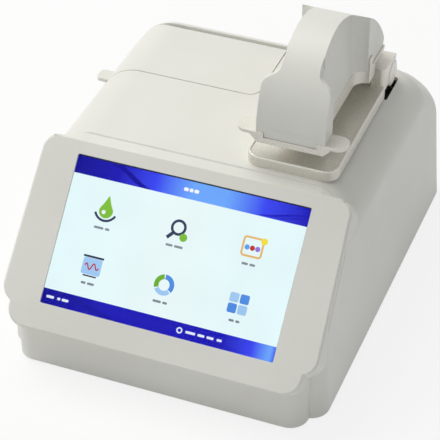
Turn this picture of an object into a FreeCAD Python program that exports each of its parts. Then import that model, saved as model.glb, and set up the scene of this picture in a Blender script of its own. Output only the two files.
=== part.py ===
import FreeCAD, Part
import math
import os
import re
import Sketcher

# Microvolume spectrophotometer, in millimetres.
# Row frame: +X to the user's right, +Y to the back, +Z up, origin under the middle of the base.
# Inside the file most places are given from the lip of the face (y) and the body's bottom edge (z).

SIZES = {
    # body
    "depth": 280.0,             # lip of the face to the rear wall, at the bottom
    "base_half_width": 104.0,   # half width at the bottom edge
    "side_draft": 0.039,        # lean of each side wall, mm per mm of height
    "rear_draft": 0.031,        # lean of the rear wall
    "body_height": 123.8,       # bottom edge to the level top
    "side_round": 29.0,         # rounding between top and sides
    "rear_round": 62.0,         # rounding between top and rear
    "corner_round": 12.0,       # upright corners
    "wall": 2.6,                # moulded wall
    "seam_gap": 0.15,           # shadow line between bezel and cover
    "foot_drop": 2.0,           # how far the feet stand out below the body
    "fit_gap": 0.3,             # clearance of pieces that drop into place
    # display head
    "face_angle": 47.0,         # tilt of the face from level, degrees
    "face_length": 120.0,       # along the slope, lip to top edge
    "lip_height": 36.0,         # lip above the bottom edge
    "head_depth": 20.0,         # thickness of the head, square to the face
    "bezel_depth": 6.0,         # bezel's share of that thickness
    "nose_inset": 9.0,          # narrower foot of the face, in from the body's half width
    "nose_setback": 11.0,       # nose wall behind the lip
    "nose_top": 31.0,           # upper end of the nose wall, inside the head
    "shoulder_rise": 13.0,      # slope length at which the face widens
    "face_corner": 12.0,        # lower corners of the face
    "face_top_corner": 10.0,    # upper corners of the face
    "bezel_chamfer": 1.2,       # broken front edge of the bezel
    "screen_width": 150.6,
    "screen_height": 93.6,
    "screen_start": 17.2,       # slope length from the lip to the window
    "window_corner": 1.0,
    "glass_margin": 3.0,        # glass behind the window's edge, all round
    "glass_sink": 1.2,          # glass below the face
    "glass_thickness": 1.4,
    "panel_margin": 6.0,        # display panel beyond the window
    "panel_thickness": 5.5,
    "bracket_thickness": 1.5,
    "boss_radius": 3.2,
    "boss_spread": 4.5,         # boss centre beyond the panel's edge
    "board_thickness": 1.6,
    "board_gap": 6.0,           # main board behind the bracket
    # base
    "plate_thickness": 3.0,
    "plate_sink": 1.0,          # base plate above the body's bottom edge
    "foot_radius": 9.0,
    "foot_inset": 24.0,         # foot centre from the side and the rear
    "screw_radius": 1.5,
    "screw_head_radius": 2.9,
    "screw_head_height": 1.7,
    "post_radius": 4.0,
    "screw_boss": 25.0,         # height of the screw bosses in the base
    "screw_grip": 8.0,          # screw beyond the plate that it holds
    "screw_inset": 4.0,         # screw bosses off the side walls
    "screw_rear": 8.0,          # rear pair off the rear wall
    "screw_front": 34.0,        # front pair behind the nose wall
    # deck and hinge
    "deck_x": 54.4,             # middle of the deck, right of the body's middle
    "deck_half_width": 28.85,
    "deck_front": 93.5,         # behind the lip
    "deck_length": 105.5,
    "deck_height": 7.2,
    "deck_corner": 9.0,
    "deck_rim": 1.6,
    "deck_sink": 0.8,
    "deck_edge": 1.0,           # rounding of the deck's upper edge
    "hub_radius": 14.0,
    "hub_length": 16.0,
    "lug_ahead": 19.0,          # lug's front face ahead of the hinge axis
    "lug_length": 25.0,
    "lug_inner": 19.3,
    "lug_thickness": 8.8,
    "lug_rise": 13.0,           # above the deck
    "lug_fall": 2.0,            # slope of its top towards the back
    "lug_radius": 8.6,
    "lug_corner": 3.0,
    "hinge_behind": 11.0,       # hinge axis behind the deck's rear edge
    "hinge_height": 7.2,        # hinge axis above the body's top
    "shaft_radius": 3.0,
    "shaft_play": 0.03,
    "bush_radius": 4.6,
    "bush_flange": 0.6,
    "bush_length": 9.0,
    "bush_rim": 2.0,            # flange beyond the bush
    "cap_radius": 8.2,
    "cap_thickness": 0.5,
    "slot_ahead": 17.0,         # hinge slot's front end ahead of the axis
    "slot_play": 1.0,
    # arm
    "arm_overhang": 0.5,        # arm ahead of the deck
    "arm_gap": 11.4,            # arm above the deck when closed
    "arm_plate_height": 7.1,
    "arm_plate_depth": 14.0,
    "arm_plate_half": 20.8,
    "ear_half": 34.2,
    "ear_thickness": 2.0,
    "ear_run": 4.7,             # width of the slope under each ear
    "ear_round": 6.0,
    "bar_half": 14.5,
    "bar_height": 10.1,
    "flare_ahead": 34.0,        # start of the wide rear part, ahead of the hinge axis
    "flare_half": 22.6,
    "flare_round": 8.0,
    "flare_length": 12.0,
    "cheek_length": 20.0,
    "cheek_thickness": 2.5,
    "tooth_height": 7.5,
    "tooth_depth": 5.0,
    "tooth_width": 4.5,
    "knuckle_radius": 8.0,
    "knuckle_gap": 0.9,         # knuckle end to lug, taken up by the bush flange and its play
    # hood over the arm
    "hood_wall": 2.2,
    "hood_front_half": 21.5,
    "hood_slab_depth": 13.0,
    "hood_waist_top": 11.5,
    "hood_waist_low": 14.3,
    "hood_rear_half": 21.6,
    "hood_rear_ahead": 46.0,    # where the hood widens again, ahead of the hinge axis
    "hood_tail_ahead": 4.0,     # rear end of the lower edge, ahead of the hinge axis
    "hood_sweep": 10.0,         # length of the flowing width changes
    "shoulder_start": 26.5,     # ends of the shoulder above the arm's plate
    "shoulder_end": 40.5,
    "tongue_half": 16.5,
    "tongue_drop": 3.4,
    "tongue_thickness": 1.2,
    "foot_run": 1.0,            # crest line: run behind the arm's front and rise above its plate
    "foot_rise": 0.0,
    "brow_run": 7.4,
    "brow_rise": 25.5,
    "temple_run": 19.5,
    "temple_rise": 41.0,
    "crown_run": 41.0,
    "crown_rise": 51.2,
    "back_ahead": 36.0,         # the last two are ahead of the hinge axis
    "back_rise": 41.3,
    "tail_ahead": 2.0,
    "tail_rise": 7.1,
    # path drive in the arm
    "pedestal_behind": 25.5,    # measuring point behind the deck's front
    "path_travel": 0.95,
    "path_rest": 1.0,           # gap between the pedestals at rest
    "pedestal_height": 5.3,     # lower pedestal above the deck's floor
    "pedestal_radius": 5.0,
    "pedestal_foot": 1.0,       # thickness of the round foot under it
    "tip_radius": 2.0,
    "plunger_radius": 4.0,
    "guide_wall": 1.8,
    "guide_play": 0.05,
    "guide_rim": 2.0,           # guide's flange beyond its wall
    "plunger_head": 5.6,
    "plunger_head_rise": 2.0,
    "plunger_thread": 4.0,      # depth of the hole for the motor's screw, below the head
    "motor_radius": 7.6,
    "motor_length": 18.0,
    "motor_lift": 7.0,          # underside of the motor above the bar
    "seat_wall": 2.0,           # motor seat beyond the guide's flange
    "seat_plate": 1.2,
    # cuvette station
    "lid_length": 57.0,         # front edge ahead of the lid's axis
    "lid_right": 7.5,
    "lid_corner": 7.0,
    "lid_skirt_drop": 15.8,     # lower edge of the lid below the top, on the left side
    "lid_gap": 0.6,
    "lid_axis_inset": 59.0,     # lid axis ahead of the rear wall's foot
    "lid_axis_drop": 5.0,       # lid axis below the top
    "lid_barrel_radius": 4.2,
    "lid_barrel_left": -64.0,
    "lid_pin_radius": 1.2,
    "lid_lug_width": 3.0,
    "tab_drop": 12.8,           # finger tab below the top
    "tab_width": 10.5,
    "tab_thickness": 2.2,
    "tab_reach": 4.23,          # finger tab beyond the side wall
    "tab_round": 3.0,
    "bay_drop": 17.8,           # tray floor below the top
    "bay_wall": 2.5,
    "bay_ledge": 3.5,
    "well_x": -48.0,
    "well_ahead": 31.0,         # cuvette well ahead of the lid's axis
    "well_size": 12.6,
    "well_depth": 38.0,
    "block_half": 15.0,
    "block_height": 44.0,
    "block_flange": 4.0,
    "window_radius": 2.5,
    # rear panel
    "panel_width": 150.0,
    "panel_height": 56.0,
    "panel_rise": 14.0,
    "panel_plate": 1.5,
    "panel_sink": 1.5,          # rear panel below the rear wall's surface
    "panel_ledge": 7.0,         # rim of the rear wall behind the panel, with its screws
    "inlet_x": -58.0,           # as seen along +Y
    "inlet_radius": 5.5,
    "inlet_bore": 3.2,
    "inlet_pin": 1.0,
    "inlet_rim": 1.5,           # rim beyond the hole, and its thickness
    "inlet_lip": 1.0,
    "inlet_length": 14.0,
    "inlet_wall": 3.0,          # closed end
    "switch_x": -30.0,
    "switch_width": 13.0,
    "switch_height": 19.0,
    "switch_rim": 2.0,          # rim beyond the hole, and its thickness
    "switch_lip": 1.0,
    "switch_length": 16.0,
    "switch_wall": 1.0,
    "rocker_tilt": 8.0,
    "rocker_sink": 3.0,         # rocker's axis below the panel
    "rocker_rise": 3.4,         # ridge above the axis
    "rocker_end_rise": 2.4,
    "rocker_depth": 2.5,
    "socket_x": 10.0,
    "socket_pitch": 20.0,
    "socket_width": 13.2,
    "socket_height": 5.8,
    "socket_length": 14.0,
    "socket_shell": 0.7,        # sheet of the socket's shell
    "socket_board": 1.6,
    "socket_board_half": 8.0,
    "socket_tongue": 1.5,
    "vent_pitch": 5.0,
    "vent_width": 2.2,
    "vent_length": 30.0,
    "vent_x": 52.0,
    # inside
    "bench_offset": 12.4,       # middle of the bench left of the measuring point
    "bench_width": 84.0,
    "bench_length": 110.0,
    "bench_height": 46.0,
    "bench_ahead": 14.0,        # front of the bench ahead of the measuring point
    "lamp_inset": 42.0,         # middle of the lamp housing in from the side
    "lamp_y": 120.0,
    "lamp_width": 40.0,
    "lamp_length": 50.0,
    "lamp_dome": 12.0,          # radius of the bulb's cover
    "lamp_dome_rise": 6.0,
    "lamp_height": 34.0,
    "fibre_radius": 1.5,
    "power_inset": 54.0,        # middle of the supply board in from the side and from the rear
    "power_ahead": 65.0,
    "supply_width": 80.0,
    "supply_length": 56.0,
    "supply_lift": 8.0,         # board above the base plate, on its posts
    "supply_post_inset": 6.0,
    "bend_drop": 30.0,          # straight end of the receiving fibre under the pedestal
    "bend_rise": 25.0,          # straight end above the bench
    "fibre_offset": 6.0,
}

# Places that follow from the sizes.
DERIVED = {
    "nose_half_width": "base_half_width - nose_inset",
    "wall_front": "shoulder_rise * cos(face_angle * 1deg) + head_depth * sin(face_angle * 1deg)",
    "panel_back": "glass_sink + glass_thickness + panel_thickness",
    "window_middle": "screen_start + screen_height / 2",
    "arm_front": "deck_front - arm_overhang",
    "pedestal_y": "deck_front + pedestal_behind",
    "deck_floor": "body_height + deck_height - deck_sink",
    "hinge_y": "deck_front + deck_length + hinge_behind",
    "hinge_z": "body_height + hinge_height",
    "lug_front": "hinge_y - lug_ahead",
    "lug_outer": "lug_inner + lug_thickness",
    "slot_front": "hinge_y - slot_ahead",
    "flare_front": "hinge_y - flare_ahead - arm_front",
    "arm_z": "body_height + deck_height + arm_gap",
    "bar_top": "arm_z + bar_height",
    "plate_top": "arm_z + arm_plate_height",
    "hood_foot_y": "arm_front + foot_run",
    "hood_rear_front": "hinge_y - hood_rear_ahead",
    "hood_tail_foot": "hinge_y - hood_tail_ahead",
    "hood_crown_z": "plate_top + crown_rise",
    "shoulder_low": "plate_top + shoulder_start",
    "shoulder_high": "plate_top + shoulder_end",
    "guide_outer": "plunger_radius + guide_play + guide_wall",
    "guide_brim": "guide_outer + guide_rim",
    "seat_outer": "guide_brim + seat_wall",
    "lid_axis_y": "depth - lid_axis_inset",
    "lid_axis_z": "body_height - lid_axis_drop",
    "lid_front": "lid_axis_y - lid_length",
    "lid_skirt": "body_height - lid_skirt_drop",
    "tab_height": "body_height - tab_drop",
    "tab_tip": "base_half_width - side_draft * tab_height + tab_reach",
    "bay_floor": "body_height - bay_drop",
    "well_y": "lid_axis_y - well_ahead",
    "panel_middle": "panel_rise + panel_height / 2",
    "base_floor": "plate_sink + plate_thickness",
    "screw_x": "base_half_width - wall - post_radius - screw_inset",
    "bench_x": "deck_x - bench_offset",
    "bench_y": "pedestal_y - bench_ahead",
    "bench_top": "base_floor + bench_height",
    "lamp_x": "lamp_inset - base_half_width",
    "lamp_top": "base_floor + lamp_height",
    "power_x": "power_inset - base_half_width",
    "power_y": "depth - power_ahead",
}

doc = FreeCAD.newDocument("microvolume_spectrophotometer")
sheet = doc.addObject("Spreadsheet::Sheet", "Sizes")
for row, (alias, number) in enumerate(SIZES.items(), 1):
    sheet.set("A%d" % row, alias)
    sheet.set("B%d" % row, str(number))
    sheet.setAlias("B%d" % row, alias)
doc.recompute()

PARTS = []
X_AXIS = FreeCAD.Vector(1, 0, 0)
REACH = 400.0                   # longer than the object, for cutting tools that pass right through
SKIP = 1.0                      # how far a cutting tool starts outside the wall it opens


def full(text):
    """Expression with each size's name spelled as the sheet's own."""
    def spell(match):
        word = match.group(0)
        if word in DERIVED:
            return "(%s)" % full(DERIVED[word])
        return "Sizes." + word if word in SIZES else word
    return re.sub(r"[a-z][a-z_]*", spell, str(text))


def value(text):
    """Number that an expression of sizes comes to."""
    return float(sheet.evalExpression(full(text)))


def bind(target, prop, text):
    target.setExpression(prop, full(text))


def place(target, x="0", y="0", z="0", angle=None):
    """Placement from places behind the lip and above the bottom edge; angle turns about X."""
    if angle is not None:
        target.Placement = FreeCAD.Placement(FreeCAD.Vector(), FreeCAD.Rotation(X_AXIS, value(angle)))
        bind(target, ".Placement.Rotation.Angle", angle)
    bind(target, ".Placement.Base.x", x)
    bind(target, ".Placement.Base.y", "(%s) - depth / 2" % y)
    bind(target, ".Placement.Base.z", "(%s) + foot_drop" % z)


def moved(shape):
    """A shape drawn from the lip and the bottom edge, brought to the row's frame."""
    shape.translate(FreeCAD.Vector(0, -value("depth") / 2, value("foot_drop")))
    return shape


def on_face(target, x="0", rise="0", sink="0"):
    """Placement on the tilted face: rise runs up the slope, sink goes square into the head."""
    place(target, x,
          "(%s) * cos(face_angle * 1deg) + (%s) * sin(face_angle * 1deg)" % (rise, sink),
          "lip_height + (%s) * sin(face_angle * 1deg) - (%s) * cos(face_angle * 1deg)" % (rise, sink),
          "face_angle")


def on_rear(target, x="0", rise="0", sink="0"):
    """Placement on the leaning rear wall: local y runs up it and local z into the body."""
    place(target, x,
          "depth - (%s) * rear_draft - (%s)" % (rise, sink),
          "(%s)" % rise,
          "90 + atan(rear_draft) / 1deg")


def new_body(label):
    body = doc.addObject("PartDesign::Body", label)
    body.Label = label
    PARTS.append(body)
    return body


def new_sketch(body, role):
    plane = [item for item in body.Origin.OriginFeatures if item.Role == role][0]
    sketch = body.newObject("Sketcher::SketchObject", body.Name + "_sketch")
    sketch.AttachmentSupport = [(plane, "")]
    sketch.MapMode = "FlatFace"
    return sketch


def fix_point(sketch, geometry, corner, x, y):
    for kind, text in (("DistanceX", x), ("DistanceY", y)):
        index = sketch.addConstraint(Sketcher.Constraint(kind, -1, 1, geometry, corner, value(text)))
        bind(sketch, "Constraints[%d]" % index, text)


def add_polygon(sketch, points):
    """Closed outline of straight lines, each corner held at its own place."""
    first = sketch.GeometryCount
    count = len(points)
    spots = [FreeCAD.Vector(value(x), value(y), 0) for x, y in points]
    for step in range(count):
        sketch.addGeometry(Part.LineSegment(spots[step], spots[(step + 1) % count]), False)
    for step in range(count):
        following = first + (step + 1) % count
        sketch.addConstraint(Sketcher.Constraint("Coincident", first + step, 2, following, 1))
    for step, (x, y) in enumerate(points):
        fix_point(sketch, first + step, 1, x, y)


def add_circle(sketch, x, y, radius):
    centre = FreeCAD.Vector(value(x), value(y), 0)
    number = sketch.addGeometry(Part.Circle(centre, FreeCAD.Vector(0, 0, 1), value(radius)), False)
    fix_point(sketch, number, 3, x, y)
    index = sketch.addConstraint(Sketcher.Constraint("Radius", number, value(radius)))
    bind(sketch, "Constraints[%d]" % index, radius)


def corners(left, right, low, high):
    return [(left, low), (right, low), (right, high), (left, high)]


def polygon_sketch(body, role, *outlines):
    sketch = new_sketch(body, role)
    for points in outlines:
        add_polygon(sketch, points)
    return sketch


def rounded_sketch(body, role, left, right, low, high, radius):
    """Rectangle with four equal corner arcs, tangent to its sides."""
    sketch = new_sketch(body, role)
    x0, x1, y0, y1, r = (value(text) for text in (left, right, low, high, radius))
    ends = [((x0 + r, y0), (x1 - r, y0)), ((x1, y0 + r), (x1, y1 - r)),
            ((x1 - r, y1), (x0 + r, y1)), ((x0, y1 - r), (x0, y0 + r))]
    centres = [(x1 - r, y0 + r), (x1 - r, y1 - r), (x0 + r, y1 - r), (x0 + r, y0 + r)]
    for a, b in ends:
        sketch.addGeometry(Part.LineSegment(FreeCAD.Vector(*a, 0), FreeCAD.Vector(*b, 0)), False)
    for side, centre in enumerate(centres):
        circle = Part.Circle(FreeCAD.Vector(*centre, 0), FreeCAD.Vector(0, 0, 1), r)
        begin = (side - 1) * math.pi / 2
        sketch.addGeometry(Part.ArcOfCircle(circle, begin, begin + math.pi / 2), False)
    for side in range(4):
        sketch.addConstraint(Sketcher.Constraint("Tangent", side, 2, 4 + side, 1))
        sketch.addConstraint(Sketcher.Constraint("Tangent", 4 + side, 2, (side + 1) % 4, 1))
        sketch.addConstraint(Sketcher.Constraint("Vertical" if side % 2 else "Horizontal", side))
    for side in range(1, 4):
        sketch.addConstraint(Sketcher.Constraint("Equal", 4, 4 + side))
    index = sketch.addConstraint(Sketcher.Constraint("Radius", 4, r))
    bind(sketch, "Constraints[%d]" % index, radius)
    for kind, side, text, number in (("DistanceX", 3, left, x0), ("DistanceX", 1, right, x1),
                                     ("DistanceY", 0, low, y0), ("DistanceY", 2, high, y1)):
        index = sketch.addConstraint(Sketcher.Constraint(kind, -1, 1, side, 1, number))
        bind(sketch, "Constraints[%d]" % index, text)
    return sketch


def circle_sketch(body, role, *circles):
    sketch = new_sketch(body, role)
    for x, y, radius in circles:
        add_circle(sketch, x, y, radius)
    return sketch


def pad(body, sketch, length, start="0", backwards=False, both=False):
    """Solid from a sketch; start lifts the sketch off its plane along the plane's normal."""
    feature = body.newObject("PartDesign::Pad", body.Name + "_pad")
    feature.Profile = sketch
    bind(feature, "Length", length)
    feature.Reversed = backwards
    feature.Midplane = both
    if start != "0":
        bind(sketch, ".AttachmentOffset.Base.z", start)
    return feature


def pocket(body, sketch, length, start="0", backwards=False, both=False):
    """Cut from a sketch, checked to take something away."""
    doc.recompute()
    before = body.Shape.Volume
    feature = body.newObject("PartDesign::Pocket", body.Name + "_pocket")
    feature.Profile = sketch
    bind(feature, "Length", length)
    feature.Reversed = backwards
    feature.Midplane = both
    if start != "0":
        bind(sketch, ".AttachmentOffset.Base.z", start)
    doc.recompute()
    if body.Shape.Volume > before - 1e-3:
        raise RuntimeError("%s: a pocket cuts nothing %s" % (body.Label, [o.Name for o in body.Group
                                                                          if "Invalid" in o.State]))
    return feature


def revolve(body, points, role="XZ_Plane"):
    """Turned solid from an outline of radius and height, about the sketch's upright axis."""
    sketch = polygon_sketch(body, role, points)
    feature = body.newObject("PartDesign::Revolution", body.Name + "_turn")
    feature.Profile = sketch
    feature.ReferenceAxis = (sketch, ["V_Axis"])
    feature.Angle = 360
    return feature


def round_edges(body, radius, test, kind="PartDesign::Fillet"):
    """Fillet or chamfer on the edges whose bounding box passes the test."""
    doc.recompute()
    carrier = body.Tip
    shape = carrier.Shape
    names = ["Edge%d" % (n + 1) for n, edge in enumerate(shape.Edges) if test(edge.BoundBox)]
    if not names:
        raise RuntimeError("%s: no edge to round" % body.Label)
    feature = body.newObject(kind, body.Name + "_round")
    feature.Base = (carrier, names)
    bind(feature, "Size" if kind.endswith("Chamfer") else "Radius", radius)
    return feature


def upright(box):
    return box.ZLength > 0.5 and box.XLength < 0.01 and box.YLength < 0.01


def feature_part(label, shape):
    """Sub-part whose form is worked out below with the solid modeller's own functions."""
    item = doc.addObject("Part::Feature", label)
    item.Label = label
    item.Shape = shape
    PARTS.append(item)
    return item


def face_placement():
    return FreeCAD.Placement(FreeCAD.Vector(0, 0, value("lip_height")),
                             FreeCAD.Rotation(X_AXIS, value("face_angle")))


def half_width(height):
    """Half width of the leaning sides at a height above the bottom edge."""
    return value("base_half_width") - value("side_draft") * height


def solid_of(points, direction):
    face = Part.Face(Part.makePolygon([FreeCAD.Vector(*p) for p in points + points[:1]]))
    return face.extrude(FreeCAD.Vector(*direction))


def block(low, high):
    size = [b - a for a, b in zip(low, high)]
    return Part.makeBox(size[0], size[1], size[2], FreeCAD.Vector(*low))


def behind_face(sink):
    """Everything deeper in the head than the given distance below the face."""
    half = Part.makeBox(2 * REACH, 2 * REACH, REACH, FreeCAD.Vector(-REACH, -REACH, -REACH - sink))
    half.Placement = face_placement()
    return half


def face_slab(inset, near, far):
    """Face outline, narrower by inset, between two depths below the face."""
    rise, length, angle = value("shoulder_rise"), value("face_length"), math.radians(value("face_angle"))
    low = half_width(value("lip_height") + rise * math.sin(angle)) - inset
    high = half_width(value("body_height")) - inset
    nose = value("nose_half_width") - inset
    wide = solid_of([(-low, rise + inset, -far), (low, rise + inset, -far),
                     (high, length - inset, -far), (-high, length - inset, -far)], (0, 0, far - near))
    bottom = [e for e in wide.Edges if along_normal(e) and e.BoundBox.YMax < length / 2]
    wide = wide.makeFillet(value("face_corner") - inset, bottom)
    top = [e for e in wide.Edges if along_normal(e) and e.BoundBox.YMin > length - inset - 0.01]
    wide = wide.makeFillet(value("face_top_corner") - inset, top)
    foot = solid_of([(-nose, inset, -far), (nose, inset, -far),
                     (nose, length / 2, -far), (-nose, length / 2, -far)], (0, 0, far - near))
    bottom = [e for e in foot.Edges if along_normal(e) and e.BoundBox.YMax < length / 4]
    foot = foot.makeFillet(value("face_corner") - inset, bottom)
    return wide.fuse(foot).removeSplitter()


def along_normal(edge):
    box = edge.BoundBox
    return box.XLength < 0.01 and box.YLength < 0.01


def body_form(name, inset):
    """Body behind the display head, walls moved in by inset, with its three roundings.

    The rear rounding comes first. The side rounding then runs along the top, follows the rear
    arc while it shrinks to the upright corner's radius, and goes down that corner.
    """
    top = value("body_height") - inset
    foot = -SKIP if inset else 0.0
    start = value("shoulder_rise") * math.cos(math.radians(value("face_angle")))
    rear = [value("depth") - value("rear_draft") * z - inset for z in (foot, top)]
    side = solid_of([(-REACH, start, foot), (-REACH, start, top), (-REACH, rear[1], top),
                     (-REACH, rear[0], foot)], (2 * REACH, 0, 0))
    low, high = half_width(foot) - inset, half_width(top) - inset
    section = solid_of([(-low, 0, foot), (low, 0, foot), (high, 0, top), (-high, 0, top)], (0, REACH, 0))
    form = side.common(section)
    edges = [e for e in form.Edges if e.BoundBox.ZMin > top - 0.01 and e.BoundBox.YMin > rear[1] - 0.01]
    form = form.makeFillet(value("rear_round") - inset, edges)
    base = doc.addObject("Part::Feature", name + "_prism")
    base.Shape = form
    rounded = doc.addObject("Part::Fillet", name)
    rounded.Base = base
    large = value("side_round") - inset
    small = value("corner_round") - inset
    picked = []
    for number, edge in enumerate(form.Edges, 1):
        box = edge.BoundBox
        one_side = box.XMin * box.XMax > 0 and box.YMax > start + 1
        if not one_side:
            continue
        if box.ZMin > top - 0.01:
            picked.append((number, large, large))
        elif edge.Curve.TypeId == "Part::GeomEllipse":
            first_is_top = edge.valueAt(edge.FirstParameter).z > box.ZMax - 0.01
            picked.append((number, large, small) if first_is_top else (number, small, large))
        elif box.ZMin < foot + 0.01 and box.ZMax > foot + 1:
            picked.append((number, small, small))
    rounded.Edges = picked
    doc.recompute()
    return rounded.Shape


def front_wall(inset):
    """Lower front of the body: a flat wall under the head, with rounded upright corners."""
    wall_y = value("wall_front") + inset
    foot = -SKIP if inset else 0.0
    top = value("body_height") - value("side_round")
    back = wall_y + 2 * value("corner_round")
    low, high = half_width(foot) - inset, half_width(top) - inset
    form = solid_of([(-low, wall_y, foot), (low, wall_y, foot), (high, wall_y, top),
                     (-high, wall_y, top)], (0, back - wall_y, 0))
    edges = [e for e in form.Edges if e.BoundBox.YMax < wall_y + 0.01 and e.BoundBox.ZLength > 1]
    form = form.makeFillet(value("corner_round") - inset, edges)
    return form, back


def nose_block(inset):
    """Upright wall under the narrow foot of the face."""
    half, front = value("nose_half_width") - inset, value("nose_setback") + inset
    foot = -SKIP if inset else 0.0
    top = value("nose_top") - inset
    form = block((-half, front, foot), (half, front + 3 * value("corner_round"), top))
    edges = [e for e in form.Edges if e.BoundBox.YMax < front + 0.01 and e.BoundBox.ZLength > 1]
    return form.makeFillet(value("corner_round") - inset, edges)


def housing(name, inset, deepest):
    """Whole moulded form behind the face, walls moved in by inset."""
    lower, split = front_wall(inset)
    main = body_form(name, inset).cut(block((-REACH, -REACH, -REACH), (REACH, split, REACH)))
    slab = face_slab(inset, inset, deepest)
    slab.Placement = face_placement()
    form = main.fuse([lower, nose_block(inset), slab]).removeSplitter()
    return form.common(behind_face(inset))


def lid_region(gap):
    """Space of the lid seen from above and from the side, grown by a gap all round."""
    front, right = value("lid_front") - gap, value("lid_right") + gap
    axis_y = value("lid_axis_y")
    axis_z = value("lid_axis_z")
    radius = value("lid_barrel_radius") + gap
    foot = value("lid_skirt") - gap
    body = block((-REACH, front, foot), (right, axis_y, REACH))
    edges = [e for e in body.Edges if upright(e.BoundBox) and e.BoundBox.XMin > 0
             and e.BoundBox.YMax < front + 0.01]
    body = body.makeFillet(value("lid_corner") + gap, edges)
    round_end = Part.makeCylinder(radius, REACH + right, FreeCAD.Vector(-REACH, axis_y, axis_z), X_AXIS)
    low_end = block((-REACH, axis_y - SKIP, foot), (right, axis_y + radius, axis_z))
    high_end = block((-REACH, axis_y, axis_z), (right, axis_y + radius, REACH))
    return body, round_end, low_end, high_end


def make_cover(outer, inner):
    cover = outer.cut(inner)
    # seam towards the bezel
    cover = cover.common(behind_face(value("bezel_depth + seam_gap")))
    # opening for the cuvette lid
    body, round_end, low_end, high_end = lid_region(value("lid_gap"))
    cover = cover.cut([body, low_end, high_end])
    # hub and hinge openings under the deck
    top = value("body_height")
    deck_x = value("deck_x")
    hub = Part.makeCylinder(value("hub_radius + fit_gap"), REACH,
                            FreeCAD.Vector(deck_x, value("pedestal_y"), top - REACH / 4))
    half = value("lug_outer + cap_thickness + slot_play")
    slot = block((deck_x - half, value("slot_front"), top - REACH / 4),
                 (deck_x + half, value("hinge_y + lug_radius + slot_play"), REACH))
    edges = [e for e in slot.Edges if upright(e.BoundBox)]
    slot = slot.makeFillet(value("slot_play"), edges)
    cover = cover.cut([hub, slot])
    # rear opening: a thicker frame, the way through, and the step that the panel sits in
    ledge, seat = value("panel_ledge"), value("panel_sink + panel_plate + seam_gap")
    cover = cover.fuse(rear_tool(2 * ledge, seat + value("2 * panel_plate")).common(outer))
    cover = cover.cut(rear_tool(0.0, 4 * seat))
    cover = cover.cut(rear_tool(ledge, seat))
    for x, rise in PANEL_SCREWS:
        bore = on_rear_wall(Part.makeCylinder(value("screw_radius"), 4 * seat), value(x), value(rise), 0.0)
        cover = cover.cut(bore)
    # screw bosses up the inside of the base
    for x, y in BASE_SCREWS:
        floor, top, half = value("base_floor"), value("screw_boss"), value("wall") / 2
        boss = Part.makeCylinder(value("post_radius"), top, FreeCAD.Vector(x, y, floor))
        side = math.copysign(REACH, x)
        rib = block((min(x, side), y - half, floor), (max(x, side), y + half, top))
        bore = Part.makeCylinder(value("screw_radius"), 2 * top / 3, FreeCAD.Vector(x, y, 0))
        cover = cover.fuse(boss.fuse(rib).common(outer)).cut(bore)
    return cover.removeSplitter()


def rear_tool(grow, sink):
    """Box through the rear wall, square to it, larger than the opening by grow."""
    half = value("panel_width / 2 - panel_ledge") + grow
    low = value("panel_rise + panel_ledge") - grow
    high = value("panel_rise + panel_height - panel_ledge") + grow
    tool = Part.makeBox(2 * half, high - low, sink + SKIP, FreeCAD.Vector(-half, low, -SKIP))
    return on_rear_wall(tool, 0.0, 0.0, 0.0)


def on_rear_wall(shape, x, rise, sink):
    """The same placement as on_rear, for a shape that isn't a document object."""
    lean = value("rear_draft")
    spot = FreeCAD.Vector(x, value("depth") - rise * lean - sink, rise)
    shape.Placement = FreeCAD.Placement(
        spot, FreeCAD.Rotation(X_AXIS, 90 + math.degrees(math.atan(lean)))).multiply(shape.Placement)
    return shape


def centred_box(width, height, middle, near, far):
    """Box on the face, in the face's own axes, between two depths."""
    return block((-width / 2, middle - height / 2, -far), (width / 2, middle + height / 2, -near))


def boss_places():
    """Bosses beside the display panel, as x and slope length."""
    x = value("screen_width / 2 + panel_margin + boss_spread")
    middle, half = value("window_middle"), value("screen_height * 0.35")
    return [(-x, middle - half), (x, middle - half), (-x, middle + half), (x, middle + half)]


def make_bezel(outer, inner):
    """Front of the housing down to the seam, its outline chamfered and its window cut."""
    deep, wall, edge = value("bezel_depth"), value("wall"), value("bezel_chamfer")
    slab = face_slab(0.0, 0.0, deep)
    front = [e for e in slab.Edges if e.BoundBox.ZMin > -0.01]
    slab = slab.makeChamfer(edge, front)
    back = face_placement().inverse()
    roof = outer.copy()
    hollow = inner.copy()
    for form in (roof, hollow):
        form.Placement = back.multiply(form.Placement)
    crown = value("face_length") - edge
    under = solid_of([(-REACH, crown, 0), (-REACH, crown + deep, -deep), (-REACH, crown, -deep)],
                     (2 * REACH, 0, 0))
    shell = slab.fuse(roof.common(under)).removeSplitter().cut(hollow)
    middle = value("window_middle")
    window = centred_box(value("screen_width"), value("screen_height"), middle, -SKIP, deep)
    edges = [e for e in window.Edges if along_normal(e)]
    window = window.makeFillet(value("window_corner"), edges)
    spread = value("2 * glass_margin + 2 * fit_gap")
    seat = centred_box(value("screen_width") + spread, value("screen_height") + spread, middle,
                       value("glass_sink"), deep)
    shell = shell.cut([window, seat])
    far = value("panel_back")
    for x, rise in boss_places():
        boss = Part.makeCylinder(value("boss_radius"), far - wall / 2, FreeCAD.Vector(x, rise, -far))
        bore = Part.makeCylinder(value("screw_radius"), far - wall, FreeCAD.Vector(x, rise, -far))
        shell = shell.fuse(boss).cut(bore)
    shell = shell.removeSplitter()
    shell.Placement = face_placement()
    return shell


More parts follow.
